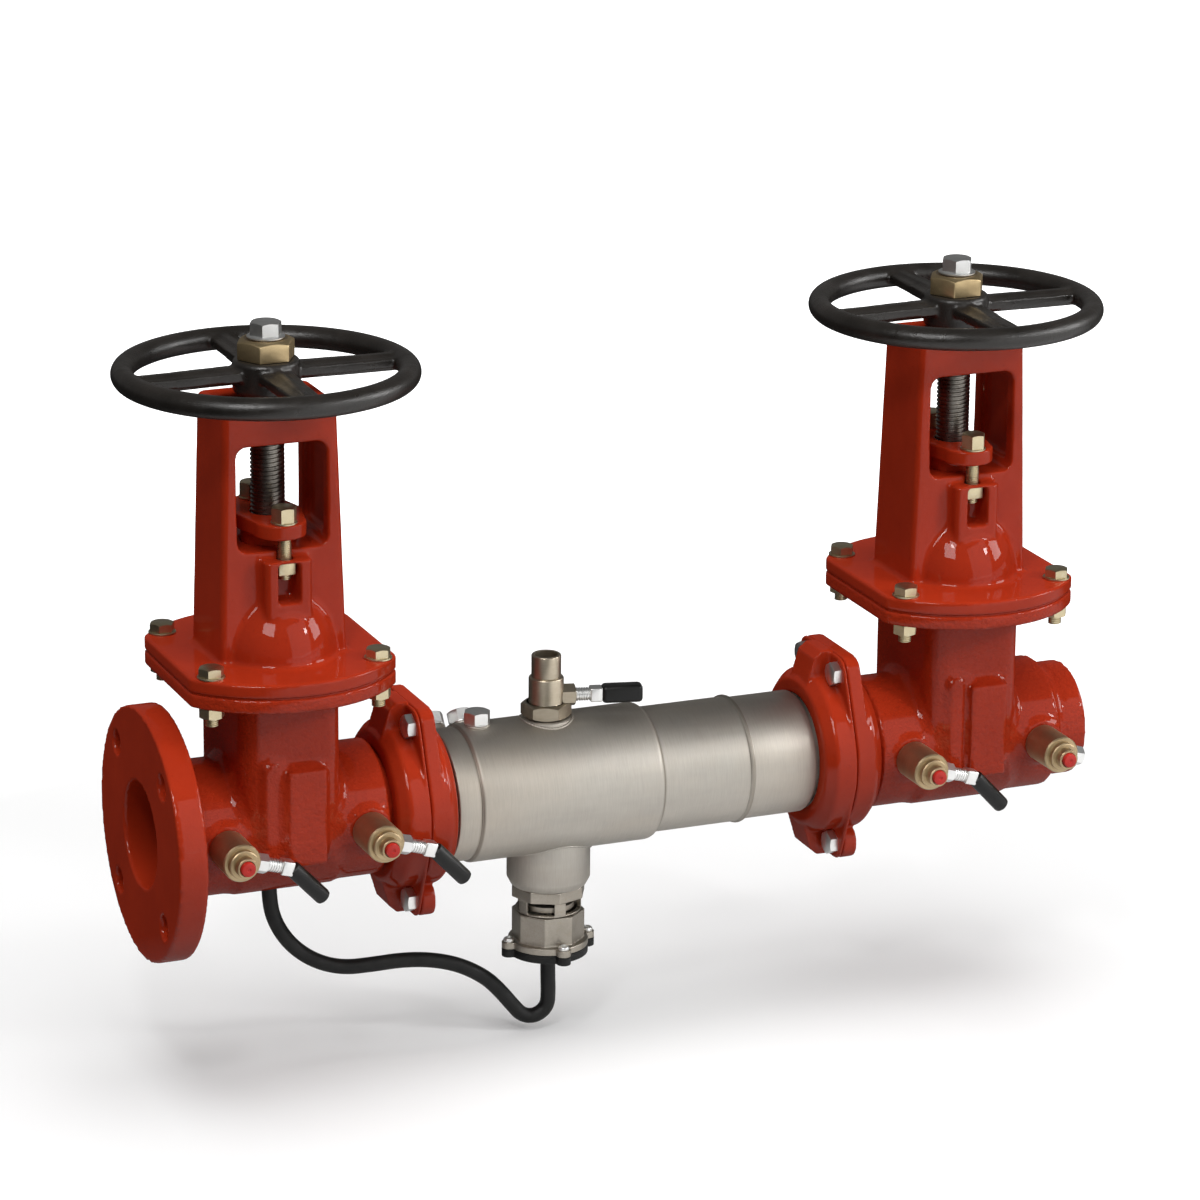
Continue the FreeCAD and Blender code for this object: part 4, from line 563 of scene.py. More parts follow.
def hollow_mask(mesh, spread_rounds, threshold, within=None):
    """How strongly each point sits in an inner corner, spread to its neighbours, from 0 to 1."""
    count = len(mesh.vertices)
    points = np.empty(count * 3)
    mesh.vertices.foreach_get("co", points)
    points = points.reshape(-1, 3)
    normals = np.empty(count * 3)
    mesh.vertices.foreach_get("normal", normals)
    normals = normals.reshape(-1, 3)
    ends = np.empty(len(mesh.edges) * 2, dtype=int)
    mesh.edges.foreach_get("vertices", ends)
    first, second = ends.reshape(-1, 2).T
    links = np.bincount(first, minlength=count) + np.bincount(second, minlength=count)

    def neighbour_mean(values):
        total = np.bincount(first, values[second], count) + np.bincount(second, values[first], count)
        return total / np.maximum(links, 1)

    mean = np.stack([neighbour_mean(points[:, axis]) for axis in range(3)], axis=1)
    mask = (((mean - points) * normals).sum(axis=1) > threshold).astype(float)
    if within is not None:
        mask *= within(points / MM)
    for _ in range(spread_rounds):
        mask = np.maximum(mask, neighbour_mean(mask) * SPREAD_GAIN)
    return np.clip(mask, 0, 1)


# %% [markdown]
# Where the neck runs into the barrel, the fillet of the real casting is much wider than elsewhere, so
# those corners are relaxed a third time, over a wider band.

# %% Rebuild a solid as a casting
FILL_BEND = 0.035
WIDE_BEND = 0.012
WIDE_ROUNDS = 140
WIDE_SPREAD = 8


def casting(node, voxel, body, finish, soft=3, fill=24, spread_rounds=3, wide_corner=None):
    """A rebuilt, relaxed copy of a node on a grid of voxel millimetres."""
    source = bmesh.new()
    source.from_mesh(nodes[node].data)
    bmesh.ops.remove_doubles(source, verts=source.verts, dist=1e-6)
    mesh = bpy.data.meshes.new("cast")
    source.to_mesh(mesh)
    holder = bpy.data.objects.new("cast", mesh)
    bpy.context.scene.collection.objects.link(holder)
    grid = holder.modifiers.new("grid", "REMESH")
    grid.mode = "VOXEL"
    grid.voxel_size = voxel * MM
    even = bpy.data.meshes.new_from_object(holder.evaluated_get(bpy.context.evaluated_depsgraph_get()))
    bpy.data.objects.remove(holder)
    even = relax(even, soft)
    corners = hollow_mask(even, spread_rounds, FILL_BEND * voxel * MM)
    print(node, "share in inner corners", round(float(corners.mean()), 2))
    even = relax(even, fill, corners)
    if wide_corner is not None:
        even = relax(even, WIDE_ROUNDS, hollow_mask(even, WIDE_SPREAD, WIDE_BEND * voxel * MM, wide_corner))
    even.polygons.foreach_set("use_smooth", [True] * len(even.polygons))
    return piece("cast_" + node, even, body, finish, (node,))


def twin(original, node, shift, body, finish):
    """The same shape further along the pipe, for another node."""
    mesh = original.data.copy()
    mesh.transform(Matrix.Translation((shift * MM, 0, 0)))
    return piece("cast_" + node, mesh, body, finish, (node,))


# %% [markdown]
# The two valve bodies differ, because only the inlet one has a flange. Bonnets, gland plates, joint
# rings and wheels are alike, so each is rebuilt once and copied along the pipe.

# %% Cast the valve bodies
VALVES = (("inlet", 101.6), ("outlet", 653.6))
NECK_SIDE = (32, 62)
NECK_HEIGHT = 92


def beside_neck(valve_x):
    """Where the sides of the neck run into the barrel."""
    def inside(points):
        along = np.abs(points[:, 0] - valve_x)
        return (along > NECK_SIDE[0]) & (along < NECK_SIDE[1]) & (np.abs(points[:, 2]) < NECK_HEIGHT)
    return inside


for side, valve_x in VALVES:
    casting(side + "_valve_body", 1.85, "assembly", RED_CAST, soft=2, fill=16, spread_rounds=2,
            wide_corner=beside_neck(valve_x))

# %% Cast the bonnets, gland plates and joint rings
VALVE_SPACING = 552.0
JOINT_SPACING = 345.6
first = casting("inlet_bonnet", 1.4, "assembly", RED, soft=2, fill=30, spread_rounds=4)
twin(first, "outlet_bonnet", VALVE_SPACING, "assembly", RED)
first = casting("inlet_gland_plate", 0.9, "assembly", RED, soft=3, fill=12, spread_rounds=2)
twin(first, "outlet_gland_plate", VALVE_SPACING, "assembly", RED)
for side in ("upstream", "downstream"):
    first = casting("first_joint_%s_ring" % side, 1.0, "assembly", RED, soft=3, fill=20)
    twin(first, "second_joint_%s_ring" % side, JOINT_SPACING, "assembly", RED)

# %% [markdown]
# The wheels are iron castings under black enamel. The parts of the relief valve are small castings
# with finer corners, so they get the finest grid.

# %% Cast the wheels and the relief valve
first = casting("inlet_handwheel", 1.1, "inlet_wheel", ENAMEL, soft=3, fill=26)
twin(first, "outlet_handwheel", VALVE_SPACING, "outlet_wheel", ENAMEL)
for node in ("relief_adapter", "relief_body"):
    casting(node, 0.6, "assembly", RELIEF, soft=2, fill=6, spread_rounds=1)
casting("relief_cover", 0.6, "assembly", COVER, soft=2, fill=6, spread_rounds=1)

# %% [markdown]
# ## Turned, hexagonal and threaded shapes
# Lathe work is a half outline spun about an axis, so a turned shape starts as a few corners of radius
# and height. Doubles are merged before the faces are turned outwards.


# %% Turned shapes
def turned(outline, steps=64):
    """Spin (radius, height) corners in millimetres about Z."""
    shape = bmesh.new()
    corners = [shape.verts.new((radius * MM, 0, height * MM)) for radius, height in outline]
    runs = [shape.edges.new(pair) for pair in zip(corners, corners[1:])]
    bmesh.ops.spin(shape, geom=corners + runs, cent=(0, 0, 0), axis=(0, 0, 1), angle=2 * math.pi,
                   steps=steps, use_merge=True)
    bmesh.ops.remove_doubles(shape, verts=shape.verts, dist=1e-6)
    bmesh.ops.recalc_face_normals(shape, faces=shape.faces)
    return shape


print("a trial ring has", len(turned([(9, 0), (10, 0), (10, 2), (9, 2), (9, 0)], 12).faces), "faces")

# %% [markdown]
# A hex head is a bar with flat sides. The chamfering tool is a cone, so a ring of slanted cuts takes
# the corners off, and each cut is closed again. Sharp edges can be rounded afterwards.

# %% Hexagons
CHAMFER_LEAN = math.radians(28)


def close_holes(shape):
    """Fill each open ring of edges."""
    open_edges = [edge for edge in shape.edges if edge.is_boundary]
    bmesh.ops.holes_fill(shape, edges=open_edges, sides=0)
    return shape


def slice_off(shape, point, normal):
    """Cut away what lies outside a plane and close the cut."""
    bmesh.ops.bisect_plane(shape, geom=shape.verts[:] + shape.edges[:] + shape.faces[:], dist=1e-7,
                           plane_co=point, plane_no=normal, clear_outer=True, clear_inner=False)
    return close_holes(shape)


def hexagon(flats, low, high, chamfer=("top",), sides=6, cuts=24, keep=0.93):
    """A flat-sided bar from low to high with its corners chamfered."""
    radius = flats / 2 / math.cos(math.pi / sides)
    shape = bmesh.new()
    bmesh.ops.create_cone(shape, cap_ends=True, segments=sides, radius1=radius * MM, radius2=radius * MM,
                          depth=(high - low) * MM)
    place = Matrix.Translation((0, 0, (high + low) / 2 * MM)) @ Matrix.Rotation(-math.pi / 2, 4, "Z")
    bmesh.ops.transform(shape, matrix=place, verts=shape.verts)
    for end in chamfer:
        level, way = (high, 1) if end == "top" else (low, -1)
        for step in range(cuts):
            angle = 2 * math.pi * step / cuts
            out = Vector((math.cos(angle), math.sin(angle), 0))
            edge = out * flats / 2 * keep * MM + Vector((0, 0, level * MM))
            slope = out * math.sin(CHAMFER_LEAN) + Vector((0, 0, way * math.cos(CHAMFER_LEAN)))
            slice_off(shape, edge, slope)
    return shape


def soften(shape, width, segments=2, angle=28):
    """Round every edge that is sharper than an angle, width in millimetres."""
    sharp = [edge for edge in shape.edges
             if len(edge.link_faces) == 2 and edge.calc_face_angle(0) > math.radians(angle)]
    bmesh.ops.bevel(shape, geom=sharp, offset=width * MM, offset_type="OFFSET", segments=segments,
                    profile=0.5, affect="EDGES", clamp_overlap=True, material=-1)
    return shape


print("a trial head has", len(hexagon(10, 0, 5).faces), "faces")

# %% [markdown]
# A thread is one tooth spun with a lift per step. It is spun longer than needed and cut flat at both
# ends, which also closes it.


# %% Threads
def thread(radius, depth, pitch, low, high, starts=1, steps=36):
    """A screw thread between two heights: its teeth spun with a lift per step, then cut flat."""
    shape = bmesh.new()
    lead = pitch * starts
    tooth = [(radius - depth, 0.14), (radius, 0.34), (radius, 0.66), (radius - depth, 0.86)]
    teeth = [(reach, (start + share) / starts) for start in range(starts) for reach, share in tooth]
    profile = [(radius - depth, 0)] + teeth + [(radius - depth, 1)]
    bottom = low - 2 * lead
    corners = [shape.verts.new((reach * MM, 0, (bottom + share * lead) * MM)) for reach, share in profile]
    runs = [shape.edges.new(pair) for pair in zip(corners, corners[1:])]
    turns = math.ceil((high - low) / lead) + 3
    bmesh.ops.spin(shape, geom=corners + runs, cent=(0, 0, 0), axis=(0, 0, 1), angle=2 * math.pi * turns,
                   steps=steps * turns, dvec=(0, 0, lead * MM / steps))
    bmesh.ops.remove_doubles(shape, verts=shape.verts, dist=2e-6)
    bmesh.ops.recalc_face_normals(shape, faces=shape.faces)
    slice_off(shape, (0, 0, high * MM), (0, 0, 1))
    slice_off(shape, (0, 0, low * MM), (0, 0, -1))
    return shape


print("a trial thread has", len(thread(5.0, 0.6, 1.5, 0, 6).faces), "faces")

# %% [markdown]
# Shapes are drawn about their own axis at the origin. A place turns that axis and moves the shape, and
# one object can take up many shapes.

# %% Put shapes in their places
AIMS = {
    "Z": (0, "X"), "-Z": (180, "X"), "X": (90, "Y"), "-X": (-90, "Y"), "-Y": (90, "X"), "Y": (-90, "X"),
}


def at(x, y, z, aim="Z"):
    """A place in millimetres, with the piece's own Z turned to an axis."""
    angle, about = AIMS[aim]
    return Matrix.Translation((x * MM, y * MM, z * MM)) @ Matrix.Rotation(math.radians(angle), 4, about)


def put_in(whole, part, place=Matrix()):
    """Add a copy of one shape to another at a place."""
    moved = part.copy()
    bmesh.ops.transform(moved, matrix=place, verts=moved.verts)
    scrap = bpy.data.meshes.new("scrap")
    moved.to_mesh(scrap)
    whole.from_mesh(scrap)
    bpy.data.meshes.remove(scrap)
    moved.free()
    return whole


print("aim X turns up to", [round(value) for value in at(0, 0, 0, "X").to_3x3() @ Vector((0, 0, 1))])

# %% [markdown]
# ## Bolts
# Each bolt is built once at the origin and copied to its places. Heads are chamfered, washers have
# a rounded rim, and the thread shows below the nut.


# %% Bonnet bolts
BOLT_FLATS = 16.5
DECK_TOP = 134.0
DECK_BOLT_X = 63.7
DECK_BOLT_Y = 57.2


def washer(radius, low, high):
    rim = [(radius - 0.3, low), (radius, low + 0.3), (radius, high - 0.4), (radius - 0.4, high)]
    return turned([(0, low)] + rim + [(0, high)], 48)


def bonnet_bolt():
    """Bolt with its head at 0 and its nut under the deck, heights from the bonnet plate's top."""
    bolt = bmesh.new()
    put_in(bolt, washer(10.25, 0, 1.5))
    put_in(bolt, hexagon(BOLT_FLATS, 1.5, 8.1))
    put_in(bolt, hexagon(BOLT_FLATS, -30.0, -22.1, ("bottom",)))
    put_in(bolt, thread(5.0, 0.6, 1.5, -36.0, -29.5))
    return bolt


bolt = bonnet_bolt()
for side, valve_x in VALVES:
    whole = bmesh.new()
    for x in (-DECK_BOLT_X, DECK_BOLT_X):
        for y in (-DECK_BOLT_Y, DECK_BOLT_Y):
            put_in(whole, bolt, at(valve_x + x, y, DECK_TOP))
    piece(side + "_bonnet_bolt_set", whole, "assembly", ZINC, (side + "_bonnet_bolts",))

# %% [markdown]
# The gland bolts press the gland plate on the packing. Each runs through the bonnet's forked nose into
# a square nut, which is a cube with its edges rounded.

# %% Gland bolts and square nuts
GLAND_TOP = 237.0
GLAND_BOLT_Y = 36.0


def gland_bolt():
    """Gland bolt, heights from the gland plate's top."""
    bolt = bmesh.new()
    put_in(bolt, washer(9.7, 0, 1.5))
    put_in(bolt, hexagon(BOLT_FLATS, 1.5, 12.5))
    put_in(bolt, thread(5.0, 0.6, 1.5, -41.5, -11.0))
    return bolt


def rounded_bar(wide, deep, low, high, round_by, cuts=3):
    """A four-sided bar about Z with rounded edges."""
    bar = bmesh.new()
    middle = Matrix.Translation((0, 0, (low + high) / 2 * MM))
    size = Matrix.Diagonal((wide * MM, deep * MM, (high - low) * MM, 1))
    bmesh.ops.create_cube(bar, size=1.0, matrix=middle @ size)
    return soften(bar, round_by, cuts)


bolt = gland_bolt()
square_nut = rounded_bar(13.2, 13.2, -37.9, -28.3, 0.9, 2)
for side, valve_x in VALVES:
    whole = bmesh.new()
    nuts = bmesh.new()
    for y in (-GLAND_BOLT_Y, GLAND_BOLT_Y):
        put_in(whole, bolt, at(valve_x, y, GLAND_TOP))
        put_in(nuts, square_nut, at(valve_x, y, GLAND_TOP))
    piece(side + "_gland_bolt_set", whole, "assembly", ZINC, (side + "_gland_bolts",))
    piece(side + "_square_nuts", nuts, "assembly", ZINC)

# %% [markdown]
# The joint bolts run along the pipe and clamp the rings together. Only their heads lie outside the
# rings, so a head is all that is made.

# %% Joint bolts
JOINTS = (204.8, 550.4)
JOINT_BOLT_BACK = 2.75
JOINT_BOLT_Y = 28.0
JOINT_BOLT_Z = 68.0
bolt = hexagon(BOLT_FLATS, 0, 6.6)
whole = bmesh.new()
for joint_x in JOINTS:
    for y in (-JOINT_BOLT_Y, JOINT_BOLT_Y):
        for z in (-JOINT_BOLT_Z, JOINT_BOLT_Z):
            put_in(whole, bolt, at(joint_x - JOINT_BOLT_BACK, y, z, "-X"))
piece("joint_bolt_set", whole, "assembly", SILVER, ("joint_bolts",))

# %% [markdown]
# ## Stem, sleeve and wheel nut
# The stem's square thread is what shows inside the yoke. Only its upper part is threaded, since
# the lower part slides through the packing.

# %% Outlines of the stem group
STEM_END = [
    (0, 51), (13.4, 51), (14, 51.6), (14, 57.4), (13.4, 58), (9, 58), (9, 63.5), (12.2, 63.5), (12.7, 64.2),
    (12.7, 203), (11.7, 205.5), (0, 205.5),
]
SLEEVE = [
    (12.78, 294.7), (20.9, 294.7), (21.5, 295.3), (21.5, 298.1), (20.9, 298.7), (15.9, 298.7), (15.9, 366),
    (12.78, 366), (12.78, 294.7),
]
CAP_WASHER = [(0, 366.3), (13.5, 366.3), (14, 366.8), (14, 367.6), (10.2, 369), (0, 369)]
STEM_PITCH = 3.175
STEM_STARTS = 2
print("stem lead", STEM_PITCH * STEM_STARTS, "mm")

# %% [markdown]
# The sleeve is a nut that turns with the wheel and lifts the stem, and the wheel nut holds the wheel
# on it. The cap bolt and its washer sit on the end of the stem, so they rise with the gate.

# %% Stem group
for side, valve_x in VALVES:
    place = at(valve_x, 0, 0)
    stem = put_in(bmesh.new(), turned(STEM_END), place)
    put_in(stem, thread(12.65, 0.9, STEM_PITCH, 205, 366, STEM_STARTS), place)
    piece(side + "_screwed_stem", stem, side + "_gate", STEM, (side + "_stem",))

    sleeve = put_in(bmesh.new(), turned(SLEEVE), place)
    piece(side + "_turned_sleeve", sleeve, side + "_wheel", BRONZE, (side + "_yoke_sleeve",))

    nut = hexagon(38, 351.3, 365.9, ("top",), keep=0.90)
    nut = put_in(bmesh.new(), soften(nut, 0.5, 2, 40), place)
    piece(side + "_hex_wheel_nut", nut, side + "_wheel", GOLD, (side + "_wheel_nut",))

    cap = put_in(bmesh.new(), turned(CAP_WASHER, 48), place)
    put_in(cap, hexagon(21, 368.3, 378.4, ("top",)), place)
    piece(side + "_cap_bolt", cap, side + "_gate", SILVER, (side + "_stem_cap_bolt",))

# %% [markdown]
# ## Check housing
# The housing is rolled stainless tube in steps, with a weld at each. The tube, its spigot and its
# bosses are turned shapes that share one object. They could be joined by booleans, but the welds hide
# where they meet, so they just run into each other.

# %% Outlines of the housing
HOUSING_X = 206.4
RELIEF_X = 322.5
TOP_COCK_X = 320.0
TUBE = [
    (40, 0), (44.45, 0), (44.45, 15.88), (42.47, 15.88), (42.47, 24.62), (44.45, 24.62), (44.45, 25.2),
    (49.4, 25.4), (50.2, 26.0), (50.5, 27.0), (50.5, 42.8), (50.9, 43.4), (51.7, 44.0), (52.2, 44.8),
    (52.5, 46.2), (52.5, 186), (52.3, 187.6), (51.7, 189.2), (50.7, 190.5), (49.5, 191), (48, 191),
    (48, 261.8), (49.0, 262.6), (49.3, 263.6), (49.3, 264.4), (49.0, 265.4), (47, 266.6), (47, 316),
    (46.6, 316.8), (44.45, 317.2), (44.45, 317.78), (42.47, 317.78), (42.47, 326.52), (44.45, 326.52),
    (44.45, 342.4), (40, 342.4), (40, 315.2), (44.4, 312), (44.4, 267), (45.4, 264), (45.4, 188.4),
    (49.9, 186), (49.9, 46), (47.9, 44), (47.9, 30.2), (40, 27.2), (40, 0),
]
SPIGOT = [
    (28, -40.4), (31.75, -40.4), (31.75, -73.9), (31.4, -74.7), (29, -79.4), (28.6, -79.8), (22.1, -79.8),
    (22.1, -74.8), (28, -74.8), (28, -40.4),
]
COCK_BOSS = [
    (8.1, 40), (19.5, 40), (19.5, 50.6), (19.1, 51.9), (18.2, 52.6), (17, 52.7), (8.1, 52.7), (8.1, 40),
]
PLUG_BOSS = [(7.1, 44), (10, 44), (10, 52.9), (9.5, 53.5), (7.1, 53.5), (7.1, 44)]
print("housing length", max(height for radius, height in TUBE), "mm")

# %% Tube, spigot and bosses
PLUGS = ((264.4, 0), (264.4, 36), (240.4, 36))


def plug_place(x, angle):
    """The housing's own axis at a plug, leaned towards the back."""
    return Matrix.Translation((x * MM, 0, 0)) @ Matrix.Rotation(math.radians(-angle), 4, "X")


housing = bmesh.new()
put_in(housing, turned(TUBE, 128), at(HOUSING_X, 0, 0, "X"))
put_in(housing, turned(SPIGOT, 96), at(RELIEF_X, 0, 0))
put_in(housing, turned(COCK_BOSS, 64), at(TOP_COCK_X, 0, 0))
for x, angle in PLUGS:
    put_in(housing, turned(PLUG_BOSS, 48), plug_place(x, angle))
piece("housing_tube", housing, "assembly", STAINLESS, ("check_housing",), angle=30)

# %% [markdown]
# A weld is a bead that was laid drop by drop. A bump could fake its ripples, but the bead also stands
# out from the tube, so it is a curve with a round section whose thickness goes up and down a little.


# %% A weld bead
def weld(name, route, thick, ripple):
    """A closed bead along a route, its thickness rippling as the torch moved."""
    curve = bpy.data.curves.new(name, "CURVE")
    curve.dimensions = "3D"
    curve.bevel_depth = thick * MM
    curve.bevel_resolution = 3
    spline = curve.splines.new("POLY")
    spline.points.add(len(route) - 1)
    for step, (point, spot) in enumerate(zip(spline.points, route)):
        point.co = (*(Vector(spot) * MM), 1)
        point.radius = 1 + ripple * math.cos(step * math.pi / 2)
    spline.use_cyclic_u = True
    holder = bpy.data.objects.new(name, curve)
    bpy.context.scene.collection.objects.link(holder)
    mesh = bpy.data.meshes.new_from_object(holder.evaluated_get(bpy.context.evaluated_depsgraph_get()))
    bpy.data.objects.remove(holder)
    mesh.polygons.foreach_set("use_smooth", [True] * len(mesh.polygons))
    return piece(name, mesh, "assembly", STAINLESS)


# %% [markdown]
# Two seams are rings about the tube. The other two lie where an upright pipe meets the tube, which
# bends the ring like a saddle.


# %% Lay the welds
def ring_route(x, radius, count=240):
    """A ring about the housing's axis."""
    angles = np.linspace(0, 2 * math.pi, count, endpoint=False)
    return [(x, radius * math.cos(angle), radius * math.sin(angle)) for angle in angles]


def saddle_route(x, radius, tube, way, count=200):
    """Where an upright pipe meets the tube."""
    route = []
    for angle in np.linspace(0, 2 * math.pi, count, endpoint=False):
        across = radius * math.sin(angle)
        route.append((x + radius * math.cos(angle), across, way * math.sqrt(tube ** 2 - across ** 2)))
    return route


SHELL_RADIUS = 52.4
SPIGOT_SEAM = 31.8
BOSS_SEAM = 19.6
NECK_SEAM = (HOUSING_X + 43.6, 50.4)
MIDDLE_SEAM = (HOUSING_X + 191.2, 47.9)
weld("weld_neck", ring_route(*NECK_SEAM), 0.8, 0.10)
weld("weld_middle", ring_route(*MIDDLE_SEAM), 0.7, 0.10)
weld("weld_spigot", saddle_route(RELIEF_X, SPIGOT_SEAM, SHELL_RADIUS, -1), 1.2, 0.10)
weld("weld_cock_boss", saddle_route(TOP_COCK_X, BOSS_SEAM, SHELL_RADIUS, 1), 1.1, 0.12)

# %% [markdown]
# Three hex plugs close the tapped bosses on the upstream part of the housing. Each has a thin round
# collar under its head.

# %% Housing plugs
PLUG_COLLAR = [(0, 53.6), (9.2, 53.6), (9.5, 53.9), (9.5, 54.6), (8.6, 55.2), (0, 55.2)]
plug = put_in(bmesh.new(), turned(PLUG_COLLAR, 48))
put_in(plug, hexagon(18, 54.6, 63.8, ("top",)))
whole = bmesh.new()
for x, angle in PLUGS:
    put_in(whole, plug, plug_place(x, angle))
piece("hex_plugs", whole, "assembly", SILVER, ("housing_plugs",))

# %% [markdown]
# ## Relief valve screws and hose ends
# Four round-headed screws hold the relief valve's body and cover together. The socket in each head is
# part of the turned outline, so no second shape has to be cut out.

# %% Relief screws
SCREW_HEAD = [
    (0, 0), (4.1, 0), (4.2, 0.3), (4.2, 1.6), (3.8, 2.4), (2.9, 3.0), (1.9, 3.2), (1.9, 2.0), (0, 2.0),
]
SCREW_CIRCLE = 32.0
SCREW_LEVEL = -124.0
screw = turned(SCREW_HEAD, 32)
whole = bmesh.new()
for x, y in ((1, 0), (-1, 0), (0, 1), (0, -1)):
    put_in(whole, screw, at(RELIEF_X + x * SCREW_CIRCLE, y * SCREW_CIRCLE, SCREW_LEVEL))
piece("relief_screw_heads", whole, "assembly", SILVER, ("relief_screws",))

# %% [markdown]
# The sensing hose leaves the inlet valve through a hex fitting and ends at a small collar under the
# relief cover.

# %% Hose fittings
HOSE_COLLAR = [(0, 0), (7.2, 0), (7.5, 0.4), (7.5, 2.6), (7.2, 3), (0, 3)]
whole = bmesh.new()
put_in(whole, hexagon(16, -62, -53.3, ("top", "bottom")), at(109.2, 30, 0))
put_in(whole, turned(HOSE_COLLAR, 40), at(RELIEF_X, 0, -142.2))
piece("hose_ends", whole, "assembly", BRASS, ("hose_fittings",))

# %% [markdown]
# ## Test cocks
# Each front cock is a turned brass body with a red plug in its end. On its side is the packing nut of
# the valve inside, on a short branch that leans down a little.

# %% Outlines of the front cocks
COCKS = (
    ("inlet_upstream", 50.1), ("inlet_downstream", 160.6), ("outlet_upstream", 602.1),
    ("outlet_downstream", 712.6),
)
BARREL = [
    (0, 42.4), (7.9, 42.4), (7.9, 52.3), (13.6, 52.3), (14.25, 53), (14.25, 84.8), (13.4, 86), (11.2, 86),
    (11, 86.3), (11, 90.4), (10.3, 91), (7.9, 91), (7.7, 91.3), (7.7, 97.4), (7.2, 98), (6.1, 98),
    (5.8, 97.6), (5.8, 89.5), (0, 89.5),
]
BRANCH_STUB = [(0, 9), (7, 9), (7, 13.2), (6.6, 13.9), (0, 13.9)]
COCK_PLUG = [
    (0, 90.2), (5.5, 90.2), (5.5, 99.6), (5.1, 100.7), (4.2, 101), (1.6, 101), (1.2, 100.4), (0, 100.4),
]
print(len(COCKS), "front cocks")

# %% Front cocks
BRANCH_LEAN = 16
BRANCH_Y = -77.0


def branch_place(x, y, z, lean, swing):
    """A branch's own Z runs along X, leaned down and swung to the front."""
    turn = Matrix.Rotation(math.radians(-swing), 4, "Z") @ Matrix.Rotation(math.radians(90 + lean), 4, "Y")
    return Matrix.Translation((x * MM, y * MM, z * MM)) @ turn


whole = bmesh.new()
nut_set = bmesh.new()
cap_set = bmesh.new()
for name, x in COCKS:
    branch = branch_place(x, BRANCH_Y, 0, BRANCH_LEAN, 0)
    put_in(whole, turned(BARREL, 64), at(x, 0, 0, "-Y"))
    put_in(whole, turned(BRANCH_STUB, 40), branch)
    put_in(nut_set, hexagon(13, 13.9, 21.9, ("top", "bottom")), branch)
    put_in(cap_set, turned(COCK_PLUG, 40), at(x, 0, 0, "-Y"))
piece("front_cocks", whole, "assembly", BRASS, ("test_cock_bodies",))
piece("front_cock_nuts", nut_set, "assembly", SILVER)
piece("cock_plugs", cap_set, "assembly", CAP_RED, ("test_cock_caps",))

# %% [markdown]
# A lever has a ribbed neck, a small square block and a dipped black grip that bends down. The neck is
# turned with its ribs in the outline, and all three shapes take the place of the branch that they
# turn about.


# %% Lever shapes
def ribbed_neck():
    """Spindle end, ribbed neck and the flange before the block."""
    outline = [(0, 7.8), (3.8, 7.8), (3.8, 21.9), (4.8, 22.3), (5.0, 22.6)]
    for rib in range(5):
        start = 23.0 + rib * 1.9
        outline += [(5.0, start), (5.0, start + 1.0), (4.3, start + 1.3), (4.3, start + 1.7)]
    outline += [(5.0, 32.6), (5.0, 33), (0, 33)]
    return turned(outline, 40)


def lever(name, place, grip_shape, bend, stands_for):
    """Neck, block and grip at a branch's place, the grip bent down from the branch."""
    metal_part = bmesh.new()
    put_in(metal_part, ribbed_neck(), place)
    put_in(metal_part, rounded_bar(10.8, 10.8, 33, 42.5, 1.2, 3), place)
    steel = piece(name + "_neck", metal_part, stands_for, SILVER)
    bent = place @ Matrix.Translation((0, 0, 42 * MM)) @ Matrix.Rotation(math.radians(bend), 4, "Y")
    grip = piece(name + "_grip", put_in(bmesh.new(), grip_shape, bent), stands_for, GRIP)
    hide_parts(stands_for)
    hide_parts(stands_for)


print("a ribbed neck has", len(ribbed_neck().faces), "faces")

# %% [markdown]
# Three of the front cocks have a lever, and the last one has none. The lever on top is wider and
# straight, and it swings a little towards the front.

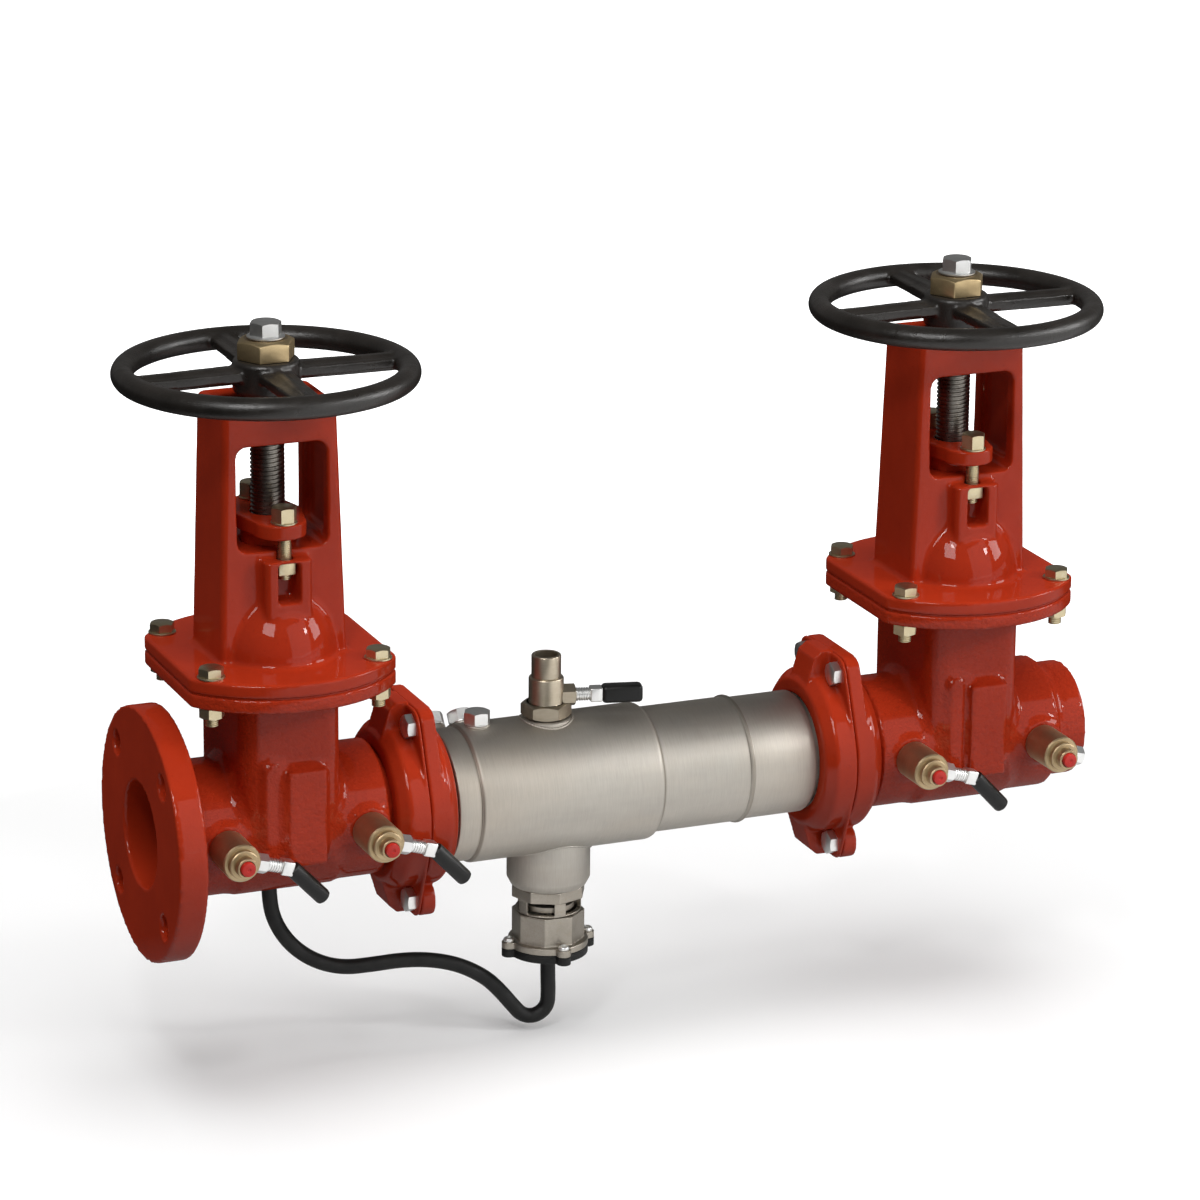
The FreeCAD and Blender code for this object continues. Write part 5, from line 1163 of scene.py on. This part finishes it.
# %% Levers
GRIP_BEND = 31
TOP_SWING = 14
TOP_BRANCH_Z = 69.0
GRIP_OUTLINE = [
    (0, 0), (5.2, 0), (6.0, 0.8), (6.2, 2), (6.2, 34), (5.8, 35.6), (4.6, 36.6), (3, 37), (0, 37),
]
round_grip = turned(GRIP_OUTLINE, 40)
for name, x in COCKS[:3]:
    lever(name, branch_place(x, BRANCH_Y, 0, BRANCH_LEAN, 0), round_grip, GRIP_BEND, name + "_cock_lever")
top_place = branch_place(TOP_COCK_X, 0, TOP_BRANCH_Z, 0, TOP_SWING)
lever("top", top_place, rounded_bar(13.8, 12.4, 0, 31, 3.2, 4), 0, "top_cock_lever")

# %% [markdown]
# The cock on top of the housing is a larger one. It stands on a hex collar, and its outline comes back
# down on the inside, so its bore is open from end to end.

# %% Top cock
TOP_BARREL = [
    (7.9, 41.2), (8, 53), (15, 53), (15, 64.5), (13.4, 64.5), (13.25, 64.8), (13.25, 83.2), (12.8, 84),
    (11.2, 84.4), (11.2, 100.8), (10.9, 101.4), (10.3, 101.8), (9.2, 101.8), (8.75, 101.4), (8.75, 87.8),
    (3.8, 87.8), (3.8, 41.2), (7.9, 41.2),
]
COLLAR_TURN = Matrix.Rotation(math.radians(37.4), 4, "Z")
whole = bmesh.new()
put_in(whole, turned(TOP_BARREL, 64), at(TOP_COCK_X, 0, 0))
collar = put_in(bmesh.new(), hexagon(33.2, 53, 64.5, ("top", "bottom")), COLLAR_TURN)
put_in(whole, collar, at(TOP_COCK_X, 0, 0))
put_in(whole, turned([(0, 6), (7, 6), (7, 11), (0, 11)], 40), top_place)
put_in(whole, hexagon(15, 11, 21.9, ("top", "bottom")), top_place)
piece("upright_cock", whole, "assembly", COCK_TOP, ("top_test_cock_body",))

# %% [markdown]
# ## Solids that stay
# The remaining solids sit inside or show only an edge. They keep their shape and take a finish.

# %% Finishes of the solids that stay
STAY = {
    RUBBER: ["inlet_wedge", "outlet_wedge", "joint_gaskets", "relief_diaphragm", "first_check_disc",
             "second_check_disc"],
    RED: ["inlet_bonnet_gasket", "outlet_bonnet_gasket"],
    BRAID: ["inlet_stem_packing", "outlet_stem_packing"],
    SILVER: ["joint_lock_rings", "first_check_spring", "second_check_spring", "relief_spring"],
    RELIEF: ["relief_poppet", "first_check_seat", "second_check_seat"],
    COVER: ["first_check_guide_cage", "second_check_guide_cage"],
}
for finish, names in STAY.items():
    for name in names:
        nodes[name].data.materials.clear()
        nodes[name].data.materials.append(finish)
print("solids kept", sum(len(names) for names in STAY.values()))
